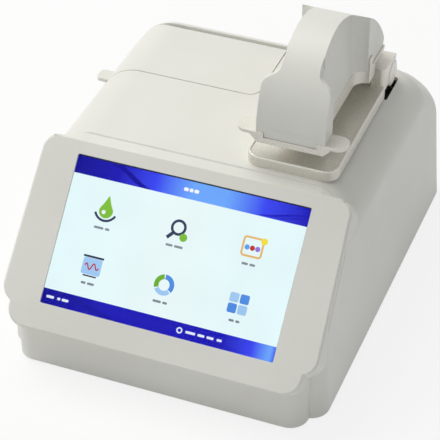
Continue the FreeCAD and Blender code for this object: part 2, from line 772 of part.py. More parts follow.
def make_lid(outer, inner):
    """Piece of the moulded skin with a rounded hinge edge, its barrel and the finger tab."""
    body, round_end, low_end = lid_region(0.0)[:3]
    skin = outer.cut(inner)
    axis_y = value("lid_axis_y")
    axis_z = value("lid_axis_z")
    round_end = round_end.common(block((-REACH, axis_y - SKIP, axis_z - SKIP), (REACH, REACH, REACH)))
    # the skirt's lower rear corner keeps within the circle that it swings on
    swing = Part.makeCylinder(axis_z - value("lid_skirt"), 2 * REACH,
                              FreeCAD.Vector(-REACH, axis_y, axis_z), X_AXIS)
    low_end = low_end.common(swing)
    lid = skin.common(body.fuse([low_end, round_end]))
    left, right = value("lid_barrel_left"), value("lid_right - lid_gap - lid_lug_width - 2 * fit_gap")
    barrel = Part.makeCylinder(value("lid_barrel_radius"), right - left,
                               FreeCAD.Vector(left, axis_y, axis_z), X_AXIS)
    lid = lid.fuse(barrel.common(outer))
    for start, width in lid_lugs():
        notch = Part.makeCylinder(value("lid_pin_radius + lid_lug_width / 3 + 2 * fit_gap"),
                                  width + 2 * value("fit_gap"),
                                  FreeCAD.Vector(start - value("fit_gap"), axis_y, axis_z), X_AXIS)
        lid = lid.cut(notch)
    bore = Part.makeCylinder(value("lid_pin_radius + shaft_play"), REACH,
                             FreeCAD.Vector(left - SKIP, axis_y, axis_z), X_AXIS)
    lid = lid.cut(bore.common(block((left - SKIP, 0, 0), (right + SKIP, REACH, REACH))))
    # finger tab at the front left corner
    front, tip = value("lid_front"), value("tab_tip")
    top, thick = value("tab_height"), value("tab_thickness")
    root = half_width(top) - value("side_round") / 2
    tab = block((-tip, front, top - thick), (-root, front + value("tab_width"), top))
    edges = [e for e in tab.Edges if upright(e.BoundBox) and e.BoundBox.XMax < -tip + 0.01]
    tab = tab.makeFillet(value("tab_round"), edges)
    return lid.fuse(tab.cut(inner)).removeSplitter()


def lid_lugs():
    """Start and width along X of the two lugs that hold the lid's pins."""
    width, gap = value("lid_lug_width"), value("fit_gap")
    return [(value("lid_barrel_left") - width - gap, width),
            (value("lid_right - lid_gap - lid_lug_width - fit_gap"), width)]


def make_bay(room):
    """Tray under the lid: a floor with walls on three sides, open to the housing's side wall."""
    wall, ledge = value("bay_wall"), value("bay_ledge")
    front, right = value("lid_front") + wall, value("lid_right + lid_gap")
    rear = value("lid_axis_y + lid_barrel_radius") + 2 * value("lid_gap")
    floor, top = value("bay_floor"), value("body_height - wall - fit_gap")
    tray = block((-REACH, front - wall - ledge, floor - wall), (right + wall + ledge, rear + wall, top))
    hollow = block((-REACH - SKIP, front, floor), (right, rear, REACH))
    edges = [e for e in hollow.Edges if upright(e.BoundBox) and e.BoundBox.XMin > 0
             and e.BoundBox.YMax < front + 0.01]
    hollow = hollow.makeFillet(value("lid_corner") - wall, edges)
    axis_y, axis_z = value("lid_axis_y"), value("lid_axis_z")
    tray = tray.cut(hollow)
    radius = value("lid_pin_radius + lid_lug_width / 3")
    for start, width in lid_lugs():
        post = block((start, axis_y - radius - width, floor - wall),
                     (start + width, axis_y - radius / 2, axis_z + radius / 2))
        end = FreeCAD.Vector(start, axis_y, axis_z)
        knuckle = Part.makeCylinder(radius, width, end, X_AXIS)
        bore = Part.makeCylinder(value("lid_pin_radius"), width, end, X_AXIS)
        tray = tray.fuse([post, knuckle]).cut(bore)
    hole = value("block_half - block_flange + fit_gap")
    x, y = value("well_x"), value("well_y")
    tray = tray.cut(block((x - hole, y - hole, 0), (x + hole, y + hole, floor + SKIP)))
    return tray.common(room).removeSplitter()


def crest(inset):
    """Line of the hood from its front foot over the top to its tail, moved in by inset."""
    front = [("arm_front + %s_run" % name, name) for name in ("foot", "brow", "temple", "crown")]
    rear = [("hinge_y - %s_ahead" % name, name) for name in ("back", "tail")]
    spots = [FreeCAD.Vector(0, value(y), value("plate_top + %s_rise" % name)) for y, name in front + rear]
    line = Part.BSplineCurve()
    line.interpolate(spots)
    if inset:
        shifted = []
        for spot in spots:
            run = line.tangent(line.parameter(spot))[0]
            shifted.append(spot + FreeCAD.Vector(0, run.z, -run.y) * inset)
        shifted[0] = shifted[0] - FreeCAD.Vector(0, 0, inset)
        line.interpolate(shifted)
    return line


def hood_form(inset):
    """Hood as a side outline, drawn in at the waist and at the shoulders of its front."""
    line = crest(inset)
    first, last = line.StartPoint, line.EndPoint
    floor = value("bar_top") - (SKIP if inset else 0)
    seat = value("plate_top") - (SKIP if inset else 0)
    slab_back = value("hood_foot_y + hood_slab_depth") - inset
    rear = value("hood_tail_foot") - inset
    ends = [last, FreeCAD.Vector(0, rear, floor), FreeCAD.Vector(0, slab_back, floor),
            FreeCAD.Vector(0, slab_back, seat), FreeCAD.Vector(0, first.y, seat), first]
    edges = [line.toShape()] + [Part.makeLine(a, b) for a, b in zip(ends, ends[1:])
                                if a.distanceToPoint(b) > 1e-6]
    wide = value("hood_rear_half") - inset
    side = Part.Face(Part.Wire(edges))
    form = side.extrude(FreeCAD.Vector(wide, 0, 0)).fuse(side.extrude(FreeCAD.Vector(-wide, 0, 0)))
    low, high = floor - SKIP, value("hood_crown_z") + SKIP
    waist_low, waist_high = value("hood_waist_low") - inset, value("hood_waist_top") - inset
    rear_front = value("hood_rear_front") + inset
    sweep = value("hood_sweep")
    outlines = []
    for z, waist in ((low, waist_low), (high, waist_high)):
        outlines.append(Part.makePolygon([FreeCAD.Vector(x, y, z) for x, y in (
            (waist, slab_back), (REACH / 8, slab_back), (REACH / 8, rear_front + sweep),
            (waist, rear_front + sweep), (waist, slab_back))]))
    bite = Part.makeLoft(outlines, True, True)
    edges = [e for e in bite.Edges if e.BoundBox.Center.x < REACH / 16 and e.BoundBox.ZLength > SKIP]
    bite = bite.makeFillet(sweep - SKIP - inset, edges)
    right = [bite, shoulder_tool(inset, slab_back + sweep)]
    left = [tool.mirror(FreeCAD.Vector(), X_AXIS) for tool in right]
    return form.cut(right + left)


def shoulder_tool(inset, back):
    """What lies outside the flowing shoulder of the hood's front, as one Bezier curve."""
    wide, narrow = value("hood_front_half") - inset, value("hood_waist_top") - inset
    low, high = value("shoulder_low") - inset, value("shoulder_high") - inset
    bend = (high - low) * 0.62
    flow = Part.BezierCurve()
    flow.setPoles([FreeCAD.Vector(x, 0, z) for x, z in (
        (wide, low), (wide, low + bend), (narrow, high - bend), (narrow, high))])
    far = REACH / 8
    ends = [FreeCAD.Vector(x, 0, z) for x, z in (
        (narrow, high), (narrow, REACH), (far, REACH), (far, low - SKIP), (wide, low - SKIP), (wide, low))]
    edges = [flow.toShape()] + [Part.makeLine(a, b) for a, b in zip(ends, ends[1:])]
    return Part.Face(Part.Wire(edges)).extrude(FreeCAD.Vector(0, back, 0))


def make_hood():
    hood = hood_form(0.0).cut(hood_form(value("hood_wall")))
    gap = value("fit_gap")
    floor = value("bar_top")
    tooth_y = value("arm_front + flare_front")
    for sign in (-1, 1):
        near = sign * value("flare_half - tooth_width - fit_gap")
        far = sign * value("hood_rear_half + 4")
        hood = hood.cut(block((min(near, far), tooth_y - gap, floor - SKIP),
                              (max(near, far), tooth_y + value("tooth_depth") + gap,
                               floor + value("tooth_height") + gap)))
    seat = value("plate_top")
    bar, foot_back = value("bar_half") + gap, value("hood_foot_y + hood_slab_depth")
    hood = hood.cut(block((-bar, value("arm_front + arm_plate_depth / 2") - gap, seat - SKIP),
                          (bar, foot_back + SKIP, floor)))
    half, drop = value("tongue_half"), value("tongue_drop")
    front = value("hood_foot_y")
    tongue = block((-half, front, seat - drop), (half, front + value("tongue_thickness"), seat + drop))
    hood = hood.fuse(tongue).removeSplitter()
    hood.translate(FreeCAD.Vector(value("deck_x"), 0, 0))
    return hood


def tube(points, radius):
    """Round cable along straight runs joined by tangent arcs."""
    spots = [FreeCAD.Vector(*p) for p in points]
    edges = []
    start = spots[0]
    for before, corner, after in zip(spots, spots[1:], spots[2:]):
        inward, outward = (corner - before), (after - corner)
        turn = inward.getAngle(outward)
        cut = 0.45 * min(inward.Length, outward.Length)
        a = corner - inward.normalize() * cut
        b = corner + outward.normalize() * cut
        middle = (a + b) * 0.5 - corner
        top = corner + middle.normalize() * (cut / math.tan(turn / 2) * (1 / math.cos(turn / 2) - 1))
        edges += [Part.makeLine(start, a), Part.Arc(a, top, b).toShape()]
        start = b
    edges.append(Part.makeLine(start, spots[-1]))
    path = Part.Wire(edges)
    ring = Part.Wire(Part.makeCircle(radius, spots[0], spots[1] - spots[0]))
    return path.makePipeShell([ring], True, False)


def repeated(label, shape, spots):
    """One node of like pieces, each moved to its own place."""
    copies = []
    for spot in spots:
        piece = shape.copy()
        piece.translate(FreeCAD.Vector(*spot))
        copies.append(piece)
    return feature_part(label, moved(Part.makeCompound(copies)))


def turned(points, axis=(0, 0, 1)):
    """Solid of revolution from radius and height, turned about the given axis."""
    outline = Part.makePolygon([FreeCAD.Vector(r, 0, z) for r, z in points + points[:1]])
    solid = Part.Face(outline).revolve(FreeCAD.Vector(), FreeCAD.Vector(0, 0, 1), 360)
    solid.Placement = FreeCAD.Placement(FreeCAD.Vector(),
                                        FreeCAD.Rotation(FreeCAD.Vector(0, 0, 1), FreeCAD.Vector(*axis)))
    return solid


def cap_screw(length):
    """Screw with its head down at height 0 and its shank going up."""
    head, shank = value("screw_head_radius"), value("screw_radius - seam_gap / 2")
    rise = value("screw_head_height")
    drive = head * 0.45
    return turned([(0, rise / 2), (drive, rise / 2), (drive, 0), (head, 0), (head, rise), (shank, rise),
                   (shank, length), (0, length)])


SCREW_ROWS = ("nose_setback + screw_front", "depth / 2", "depth - wall - post_radius - screw_rear")
BASE_SCREWS = [(sx * value("screw_x"), value(y)) for y in SCREW_ROWS for sx in (-1, 1)]
PANEL_SCREWS = [(sx + "(panel_width / 2 - panel_ledge / 2)", y) for sx in "+-"
                for y in ("panel_rise + panel_ledge / 2", "panel_rise + panel_height - panel_ledge / 2")]

# moulded shells

outer = housing("housing_outside", 0.0, value("head_depth"))
inner = housing("housing_inside", value("wall"), value("head_depth - wall"))
feature_part("main_cover", moved(make_cover(outer, inner)))
feature_part("front_bezel", moved(make_bezel(outer, inner)))
feature_part("cuvette_lid", moved(make_lid(outer, inner)))
room = housing("housing_room", value("wall + fit_gap"), value("head_depth - wall - fit_gap"))
feature_part("cuvette_bay", moved(make_bay(room)))
feature_part("arm_hood", moved(make_hood()))

# display, from the glass inwards; every piece is placed at its own back face

glass = new_body("display_glass")
on_face(glass, "0", "window_middle", "glass_sink + glass_thickness")
half_w, half_h = "screen_width / 2 + glass_margin", "screen_height / 2 + glass_margin"
pad(glass, polygon_sketch(glass, "XY_Plane", corners("-(%s)" % half_w, half_w, "-(%s)" % half_h, half_h)),
    "glass_thickness")
round_edges(glass, "window_corner", upright)

panel = new_body("lcd_panel")
on_face(panel, "0", "window_middle", "panel_back")
half_w, half_h = "screen_width / 2 + panel_margin", "screen_height / 2 + panel_margin"
pad(panel, polygon_sketch(panel, "XY_Plane", corners("-(%s)" % half_w, half_w, "-(%s)" % half_h, half_h)),
    "panel_thickness")
round_edges(panel, "window_corner", upright)

bracket = new_body("display_bracket")
on_face(bracket, "0", "window_middle", "panel_back + bracket_thickness")
ear = "screen_width / 2 + panel_margin + 2 * boss_spread"
pad(bracket, polygon_sketch(bracket, "XY_Plane",
                            corners("-(%s)" % ear, ear, "-screen_height * 0.44", "screen_height * 0.44")),
    "bracket_thickness")
round_edges(bracket, "boss_radius", upright)
opening = corners("-screen_width * 0.3", "screen_width * 0.3", "-screen_height * 0.2", "screen_height * 0.2")
pocket(bracket, polygon_sketch(bracket, "XY_Plane", opening), "2 * bracket_thickness", both=True)
BOARD_X, BOARD_Y = "screen_width * 0.44", "screen_height * 0.36"
posts = [(sx + "(%s)" % BOARD_X, sy + "(%s)" % BOARD_Y, "boss_radius") for sx in "+-" for sy in "+-"]
pad(bracket, circle_sketch(bracket, "XY_Plane", *posts), "board_gap", backwards=True)
spread = "screen_width / 2 + panel_margin + boss_spread"
holes = [(sx + "(%s)" % spread, sy + "screen_height * 0.35", "screw_radius + seam_gap")
         for sx in "+-" for sy in "+-"]
pocket(bracket, circle_sketch(bracket, "XY_Plane", *holes), "3 * bracket_thickness", both=True)

board = new_body("main_board")
on_face(board, "0", "window_middle", "panel_back + bracket_thickness"
        " + board_gap + board_thickness")
half_w, half_h = "screen_width * 0.48", "screen_height * 0.41"
pad(board, polygon_sketch(board, "XY_Plane", corners("-" + half_w, half_w, "-" + half_h, half_h)),
    "board_thickness")
chips = [corners("screen_width * %s" % x0, "screen_width * %s" % x1, "screen_height * %s" % y0,
                 "screen_height * %s" % y1)
         for x0, x1, y0, y1 in (("-0.11", "0.04", "-0.11", "0.13"), ("0.11", "0.2", "-0.09", "0.06"),
                                ("-0.33", "-0.23", "-0.21", "-0.04"), ("0.25", "0.37", "0.15", "0.26"))]
pad(board, polygon_sketch(board, "XY_Plane", *chips), "board_thickness", backwards=True)

# base plate with feet and screws

base = new_body("base_plate")
place(base, "0", "0", "plate_sink")
inside = "wall + 2 * fit_gap"
EDGE = "(base_half_width - side_draft * (plate_sink + plate_thickness) - (%s))" % inside
NOSE = "(nose_half_width - (%s))" % inside
WALL_Y = "(wall_front + %s)" % inside
FRONT = "(nose_setback + %s)" % inside
STEP_Y = "(%s + %s - %s)" % (WALL_Y, EDGE, NOSE)
REAR = "(depth - rear_draft * (plate_sink + plate_thickness) - (%s))" % inside
pad(base, polygon_sketch(base, "XY_Plane", [
    ("-" + NOSE, FRONT), (NOSE, FRONT), (NOSE, WALL_Y), (EDGE, STEP_Y), (EDGE, REAR),
    ("-" + EDGE, REAR), ("-" + EDGE, STEP_Y), ("-" + NOSE, WALL_Y)]), "plate_thickness")
inner_step = value(WALL_Y)
plate_rear = value(REAR)
round_edges(base, "corner_round - (%s)" % inside,
            lambda b: upright(b) and (b.YMin > plate_rear - 0.01 or b.YMin < inner_step - 1))
screws = [(sx + "screw_x", y) for y in SCREW_ROWS for sx in "+-"]
pocket(base, circle_sketch(base, "XY_Plane", *[(x, y, "screw_radius + seam_gap") for x, y in screws]),
       "3 * plate_thickness", both=True)
pocket(base, circle_sketch(base, "XY_Plane", *[(x, y, "screw_head_radius + seam_gap") for x, y in screws]),
       "2 * screw_head_height", both=True)
slot = polygon_sketch(base, "XY_Plane", corners("-vent_length", "vent_length",
                                                "depth / 4", "depth / 4 + vent_width"))
slots = pocket(base, slot, "3 * plate_thickness", both=True)
row_of_slots = base.newObject("PartDesign::LinearPattern", "base_vents")
row_of_slots.Originals = [slots]
row_of_slots.Direction = (slot, ["V_Axis"])
bind(row_of_slots, "Length", "vent_pitch * 5")
row_of_slots.Occurrences = 6
base.Tip = row_of_slots
board_posts = [("power_x %s (supply_width / 2 - supply_post_inset)" % sx,
                "power_y %s (supply_length / 2 - supply_post_inset)" % sy, "post_radius * 0.8")
               for sx in "+-" for sy in "+-"]
pad(base, circle_sketch(base, "XY_Plane", *board_posts), "plate_thickness + supply_lift")

repeated("base_screws", cap_screw(value("plate_thickness + screw_grip")),
         [(x, y, value("plate_sink")) for x, y in BASE_SCREWS])
foot_r, drop, sink = value("foot_radius"), value("foot_drop"), value("plate_sink")
foot = turned([(0, -drop), (foot_r - 1, -drop), (foot_r, 1 - drop), (foot_r, sink), (0, sink)])
foot_x, foot_front = value("base_half_width - foot_inset"), value("nose_setback + foot_inset")
foot_rear = value("depth - foot_inset")
repeated("rubber_feet", foot, [(sx * foot_x, y, 0) for sx in (-1, 1) for y in (foot_front, foot_rear)])

# sample deck with its hinge lugs

deck = new_body("sample_deck")
place(deck, "deck_x", "0", "body_height")
pad(deck, rounded_sketch(deck, "XY_Plane", "-deck_half_width", "deck_half_width",
                         "deck_front", "deck_front + deck_length", "deck_corner"), "deck_height")
deck_top = value("deck_height")
round_edges(deck, "deck_edge", lambda b: b.ZMin > deck_top - 0.01)
pocket(deck, rounded_sketch(deck, "XY_Plane", "-deck_half_width + deck_rim", "deck_half_width - deck_rim",
                            "deck_front + deck_rim", "deck_front + deck_length - deck_rim",
                            "deck_corner - deck_rim"), "deck_sink", start="deck_height")
pad(deck, circle_sketch(deck, "XY_Plane", ("0", "pedestal_y", "hub_radius")), "hub_length", backwards=True)
pocket(deck, circle_sketch(deck, "XY_Plane", ("0", "pedestal_y", "shaft_radius + shaft_play")),
       "3 * hub_length", both=True)
LUG = [("lug_front", "deck_height / 2"), ("lug_front + lug_length", "deck_height / 2"),
       ("lug_front + lug_length", "deck_height + lug_rise - lug_fall"),
       ("lug_front", "deck_height + lug_rise")]
for start in ("lug_inner", "-lug_outer"):
    pad(deck, polygon_sketch(deck, "YZ_Plane", LUG), "lug_thickness", start=start)
    pad(deck, circle_sketch(deck, "YZ_Plane", ("hinge_y", "hinge_height", "lug_radius")),
        "lug_thickness", start=start)
pocket(deck, circle_sketch(deck, "YZ_Plane", ("hinge_y", "hinge_height", "shaft_radius + shaft_play")),
       "4 * deck_half_width", both=True)
lug_out = value("lug_outer")
lug_face = value("lug_front")
round_edges(deck, "lug_corner", lambda b: upright(b) and abs(abs(b.XMin) - lug_out) < 0.01
            and b.YMax < lug_face + 0.01)

pedestal = new_body("lower_pedestal")
place(pedestal, "deck_x", "pedestal_y", "deck_floor")
revolve(pedestal, [("0", "-hub_radius * 0.7"), ("shaft_radius", "-hub_radius * 0.7"), ("shaft_radius", "0"),
                   ("pedestal_radius * 1.8", "0"), ("pedestal_radius * 1.8", "pedestal_foot"),
                   ("pedestal_radius", "pedestal_foot * 1.6"),
                   ("pedestal_radius", "pedestal_height - pedestal_foot * 0.8"),
                   ("tip_radius", "pedestal_height"), ("0", "pedestal_height")])

# hinge shaft, bushes and caps, all about the hinge axis

AXIS = ("deck_x", "hinge_y", "hinge_z")
shaft = new_body("hinge_shaft")
place(shaft, *AXIS)
pad(shaft, circle_sketch(shaft, "YZ_Plane", ("0", "0", "shaft_radius")),
    "2 * lug_outer", both=True)
centre = tuple(value(text) for text in AXIS)
bore, outside = value("shaft_radius + shaft_play"), value("bush_radius")
length, rim = value("bush_length"), value("bush_radius + bush_rim")
end = value("bush_length + bush_flange")
knuckle_end = value("lug_inner - knuckle_gap")
thick, disc = value("cap_thickness"), value("cap_radius")
bushes = []
caps = []
for sign in (-1, 1):
    bush = turned([(bore, 0), (outside, 0), (outside, length), (rim, length), (rim, end), (bore, end)],
                  (sign, 0, 0))
    bush.translate(FreeCAD.Vector(sign * (knuckle_end - length), 0, 0) + FreeCAD.Vector(*centre))
    bushes.append(bush)
    cap = turned([(0, 0), (disc, 0), (disc, thick / 2), (disc - 2 * thick, thick), (0, thick)], (sign, 0, 0))
    cap.translate(FreeCAD.Vector(sign * lug_out, 0, 0) + FreeCAD.Vector(*centre))
    caps.append(cap)
feature_part("hinge_bushes", moved(Part.makeCompound(bushes)))
feature_part("hinge_caps", moved(Part.makeCompound(caps)))

# arm frame, drawn from the middle of its front lower edge

arm = new_body("arm_frame")
place(arm, "deck_x", "arm_front", "arm_z")
ear_low = "arm_plate_height - ear_thickness"
profile = [("arm_plate_half", "0"), ("arm_plate_half + ear_run", ear_low), ("ear_half", ear_low),
           ("ear_half", "arm_plate_height")]
mirrored = [("-(%s)" % x, z) for x, z in reversed(profile)]
pad(arm, polygon_sketch(arm, "XZ_Plane", profile + mirrored), "arm_plate_depth", backwards=True)
ear_x = value("ear_half")
round_edges(arm, "ear_round", lambda b: upright(b) and abs(abs(b.XMin) - ear_x) < 0.01)
BAR_END = "flare_front + flare_length"
pad(arm, polygon_sketch(arm, "XY_Plane", [
    ("-bar_half", "arm_plate_depth / 2"), ("bar_half", "arm_plate_depth / 2"), ("bar_half", "flare_front"),
    ("flare_half", "flare_front"), ("flare_half", BAR_END), ("-flare_half", BAR_END),
    ("-flare_half", "flare_front"), ("-bar_half", "flare_front")]), "bar_height")
flare_y, bar_x = value("flare_front"), value("bar_half")
round_edges(arm, "flare_round", lambda b: upright(b) and abs(abs(b.XMin) - bar_x) < 0.01
            and abs(b.YMin - flare_y) < 0.01)
cheek = corners("-flare_half", "flare_half", BAR_END + " - 1", BAR_END + " - 1 + cheek_length")
pad(arm, polygon_sketch(arm, "XY_Plane", cheek), "cheek_thickness", start="bar_height - cheek_thickness")
for near in ("-flare_half", "flare_half - tooth_width"):
    tooth = corners(near, near + " + tooth_width", "flare_front", "flare_front + tooth_depth")
    pad(arm, polygon_sketch(arm, "XY_Plane", tooth), "tooth_height + 1", start="bar_height - 1")
HINGE_Y, HINGE_Z = "hinge_y - arm_front", "hinge_height - deck_height - arm_gap"
neck = [(BAR_END + " - 2", "0"), ("%s - knuckle_radius" % HINGE_Y, HINGE_Z), (HINGE_Y, HINGE_Z),
        ("%s + knuckle_radius * cos(25deg)" % HINGE_Y, "%s + knuckle_radius * sin(25deg)" % HINGE_Z),
        (HINGE_Y, "bar_height"), (BAR_END + " - 2", "bar_height")]
WIDTH = "2 * (lug_inner - knuckle_gap)"
pad(arm, polygon_sketch(arm, "YZ_Plane", neck), WIDTH, both=True)
pad(arm, circle_sketch(arm, "YZ_Plane", (HINGE_Y, HINGE_Z, "knuckle_radius")), WIDTH, both=True)
pocket(arm, circle_sketch(arm, "YZ_Plane", (HINGE_Y, HINGE_Z, "bush_radius")), "2 * " + WIDTH, both=True)
pocket(arm, circle_sketch(arm, "XY_Plane", ("0", "pedestal_y - arm_front", "guide_outer + seam_gap / 4")),
       "3 * bar_height", both=True)
tongue = corners("-tongue_half - seam_gap", "tongue_half + seam_gap",
                 "arm_plate_height - tongue_drop - seam_gap", "arm_plate_height + tongue_drop")
pocket(arm, polygon_sketch(arm, "XZ_Plane", tongue),
       "hood_foot_y - arm_front + tongue_thickness + seam_gap", backwards=False)

# path drive: guide, plunger with its tip, seat and motor

guide = new_body("pedestal_guide")
place(guide, "deck_x", "pedestal_y", "arm_z")
FLANGE = "bar_height + guide_wall * 0.7"
revolve(guide, [("plunger_radius + guide_play", "0"), ("guide_outer", "0"), ("guide_outer", "bar_height"),
                ("guide_brim", "bar_height"), ("guide_brim", FLANGE),
                ("plunger_radius + guide_play", FLANGE)])
TIP_Z = "deck_floor + pedestal_height + path_rest"
plunger = new_body("upper_pedestal")
place(plunger, "deck_x", "pedestal_y", TIP_Z)
HEAD = "arm_gap + deck_sink - pedestal_height - path_rest + %s + path_travel + seam_gap" % FLANGE
CROWN, THREAD = HEAD + " + plunger_head_rise", HEAD + " - plunger_thread"
revolve(plunger, [("0", "0"), ("tip_radius", "0"), ("plunger_radius", "plunger_radius - tip_radius"),
                  ("plunger_radius", HEAD), ("plunger_head", HEAD), ("plunger_head", CROWN),
                  ("screw_radius + guide_play", CROWN), ("screw_radius + guide_play", THREAD),
                  ("0", THREAD)])
seat = new_body("motor_seat")
place(seat, "deck_x", "pedestal_y", "bar_top")
revolve(seat, [("guide_brim + fit_gap", "0"), ("seat_outer", "0"), ("seat_outer", "motor_lift"),
               ("screw_radius * 2", "motor_lift"), ("screw_radius * 2", "motor_lift - seat_plate"),
               ("guide_brim + fit_gap", "motor_lift - seat_plate")])
motor = new_body("path_motor")
place(motor, "deck_x", "pedestal_y", "bar_top + motor_lift")
revolve(motor, [("0", "-motor_lift"), ("screw_radius", "-motor_lift"), ("screw_radius", "0"),
                ("motor_radius", "0"), ("motor_radius", "motor_length"), ("0", "motor_length")])

# cuvette block and the lid's pins

holder = new_body("cuvette_block")
place(holder, "well_x", "well_y", "bay_floor")
rim = corners("-block_half", "block_half", "-block_half", "block_half")
pad(holder, polygon_sketch(holder, "XY_Plane", rim), "bay_wall / 2")
throat = "(block_half - block_flange)"
pad(holder, polygon_sketch(holder, "XY_Plane", corners("-" + throat, throat, "-" + throat, throat)),
    "block_height", backwards=True)
WELL = corners("-well_size / 2", "well_size / 2", "-well_size / 2", "well_size / 2")
pocket(holder, polygon_sketch(holder, "XY_Plane", WELL), "well_depth", start="bay_wall / 2")
pocket(holder, circle_sketch(holder, "YZ_Plane", ("0", "-well_depth * 0.75", "window_radius")),
       "4 * block_half", both=True)
holder_wide = value("block_half")
round_edges(holder, "bay_wall", lambda b: b.XLength < 0.01 and b.YLength < 0.01
            and abs(abs(b.XMin) - holder_wide) < 0.01)

pins = []
for (start, width), side in zip(lid_lugs(), (0, -1)):
    end = FreeCAD.Vector(start + side * 3 * width, value("lid_axis_y"), value("lid_axis_z"))
    pins.append(Part.makeCylinder(value("lid_pin_radius"), 4 * width, end, X_AXIS))
feature_part("lid_hinge_pins", moved(Part.makeCompound(pins)))

# rear panel and what it carries

rear = new_body("rear_panel")
on_rear(rear, "0", "0", "panel_sink")
half_w = "(panel_width / 2 - fit_gap)"
pad(rear, polygon_sketch(rear, "XY_Plane", corners("-" + half_w, half_w, "panel_rise + fit_gap",
                                                   "panel_rise + panel_height - fit_gap")), "panel_plate")
round_edges(rear, "window_corner", upright)
opening = corners("switch_x - switch_width / 2", "switch_x + switch_width / 2",
                  "panel_middle - switch_height / 2", "panel_middle + switch_height / 2")
sockets = [corners("socket_x + %s - socket_width / 2" % step, "socket_x + %s + socket_width / 2" % step,
                   "panel_middle - socket_height / 2", "panel_middle + socket_height / 2")
           for step in ("0", "socket_pitch")]
pocket(rear, polygon_sketch(rear, "XY_Plane", opening, *sockets), "4 * panel_plate", both=True)
holes = [("inlet_x", "panel_middle", "inlet_radius")]
holes += [(x, rise, "screw_radius + seam_gap") for x, rise in PANEL_SCREWS]
pocket(rear, circle_sketch(rear, "XY_Plane", *holes), "4 * panel_plate", both=True)
opening = corners("vent_x - vent_width / 2", "vent_x + vent_width / 2",
                  "panel_middle - vent_length / 2", "panel_middle + vent_length / 2")
vent = polygon_sketch(rear, "XY_Plane", opening)
slots = pocket(rear, vent, "4 * panel_plate", both=True)
vents = rear.newObject("PartDesign::LinearPattern", "rear_vents")
vents.Originals = [slots]
vents.Direction = (vent, ["H_Axis"])
bind(vents, "Length", "vent_pitch * 3")
vents.Occurrences = 4
rear.Tip = vents

inlet = new_body("power_inlet")
on_rear(inlet, "inlet_x", "panel_middle", "panel_sink")
ring = "inlet_radius - seam_gap"
BRIM, DEEP = ring + " + inlet_rim", "inlet_length - inlet_wall"
revolve(inlet, [("inlet_bore", "-inlet_lip"), (BRIM, "-inlet_lip"), (BRIM, "0"), (ring, "0"),
                (ring, "inlet_length"), ("0", "inlet_length"), ("0", "2 * inlet_lip"),
                ("inlet_pin", "2 * inlet_lip"), ("inlet_pin", DEEP), ("inlet_bore", DEEP)])

frame = new_body("switch_frame")
on_rear(frame, "switch_x", "panel_middle", "panel_sink")
half_w, half_h = "switch_width / 2 - seam_gap", "switch_height / 2 - seam_gap"


def frame_sketch(grow):
    wide, high = "(%s + %s)" % (half_w, grow), "(%s + %s)" % (half_h, grow)
    return polygon_sketch(frame, "XY_Plane", corners("-" + wide, wide, "-" + high, high))


pad(frame, frame_sketch("0"), "switch_length")
pad(frame, frame_sketch("switch_rim"), "switch_lip", backwards=True)
pocket(frame, frame_sketch("(-switch_wall)"), "switch_length + 4 * switch_lip", both=True)

rocker = new_body("power_rocker")
on_rear(rocker, "switch_x", "panel_middle", "panel_sink + rocker_sink")
bind(rocker, ".Placement.Rotation.Angle", "90 + atan(rear_draft) / 1deg + rocker_tilt")
half_h = "(switch_height / 2 - switch_wall - 3 * fit_gap)"
foot = "(%s - switch_wall)" % half_h
pad(rocker, polygon_sketch(rocker, "YZ_Plane", [
    ("-" + half_h, "-rocker_end_rise"), ("0", "-rocker_rise"), (half_h, "-rocker_end_rise"),
    (foot, "rocker_depth"), ("-" + foot, "rocker_depth")]), "switch_width - 3 * switch_wall", both=True)

data = new_body("data_sockets")
on_rear(data, "socket_x", "panel_middle", "panel_sink")


def socket_outline(step, inset, low, high):
    """Rectangle within one socket, drawn in by an inset on its left and right."""
    left, right = "%s - socket_width / 2 + %s" % (step, inset), "%s + socket_width / 2 - %s" % (step, inset)
    return polygon_sketch(data, "XY_Plane", corners(left, right, low, high))


for step in ("0", "socket_pitch"):
    pad(data, socket_outline(step, "seam_gap", "seam_gap - socket_height / 2",
                             "socket_height / 2 - seam_gap"), "socket_length")
margin = "socket_width / 2 + 2 * panel_plate"
backing = corners("-(%s)" % margin, "socket_pitch + " + margin, "-socket_board_half", "socket_board_half")
pad(data, polygon_sketch(data, "XY_Plane", backing), "socket_board", start="socket_length - socket_board")
for step in ("0", "socket_pitch"):
    pocket(data, socket_outline(step, "socket_shell", "socket_shell - socket_height / 2",
                                "socket_height / 2 - socket_shell"),
           "socket_length - 2 * panel_plate", backwards=True)
    pad(data, socket_outline(step, "2 * socket_shell", "0", "socket_tongue"),
        "socket_length - panel_plate", start="socket_shell")

panel_screws = []
for x, rise in PANEL_SCREWS:
    screw = cap_screw(value("screw_head_height + 3 * panel_plate"))
    screw.translate(FreeCAD.Vector(0, 0, -value("screw_head_height")))
    panel_screws.append(on_rear_wall(screw, value(x), value(rise), value("panel_sink")))
feature_part("panel_screws", moved(Part.makeCompound(panel_screws)))

# inside: optical bench, lamp, supply and fibres

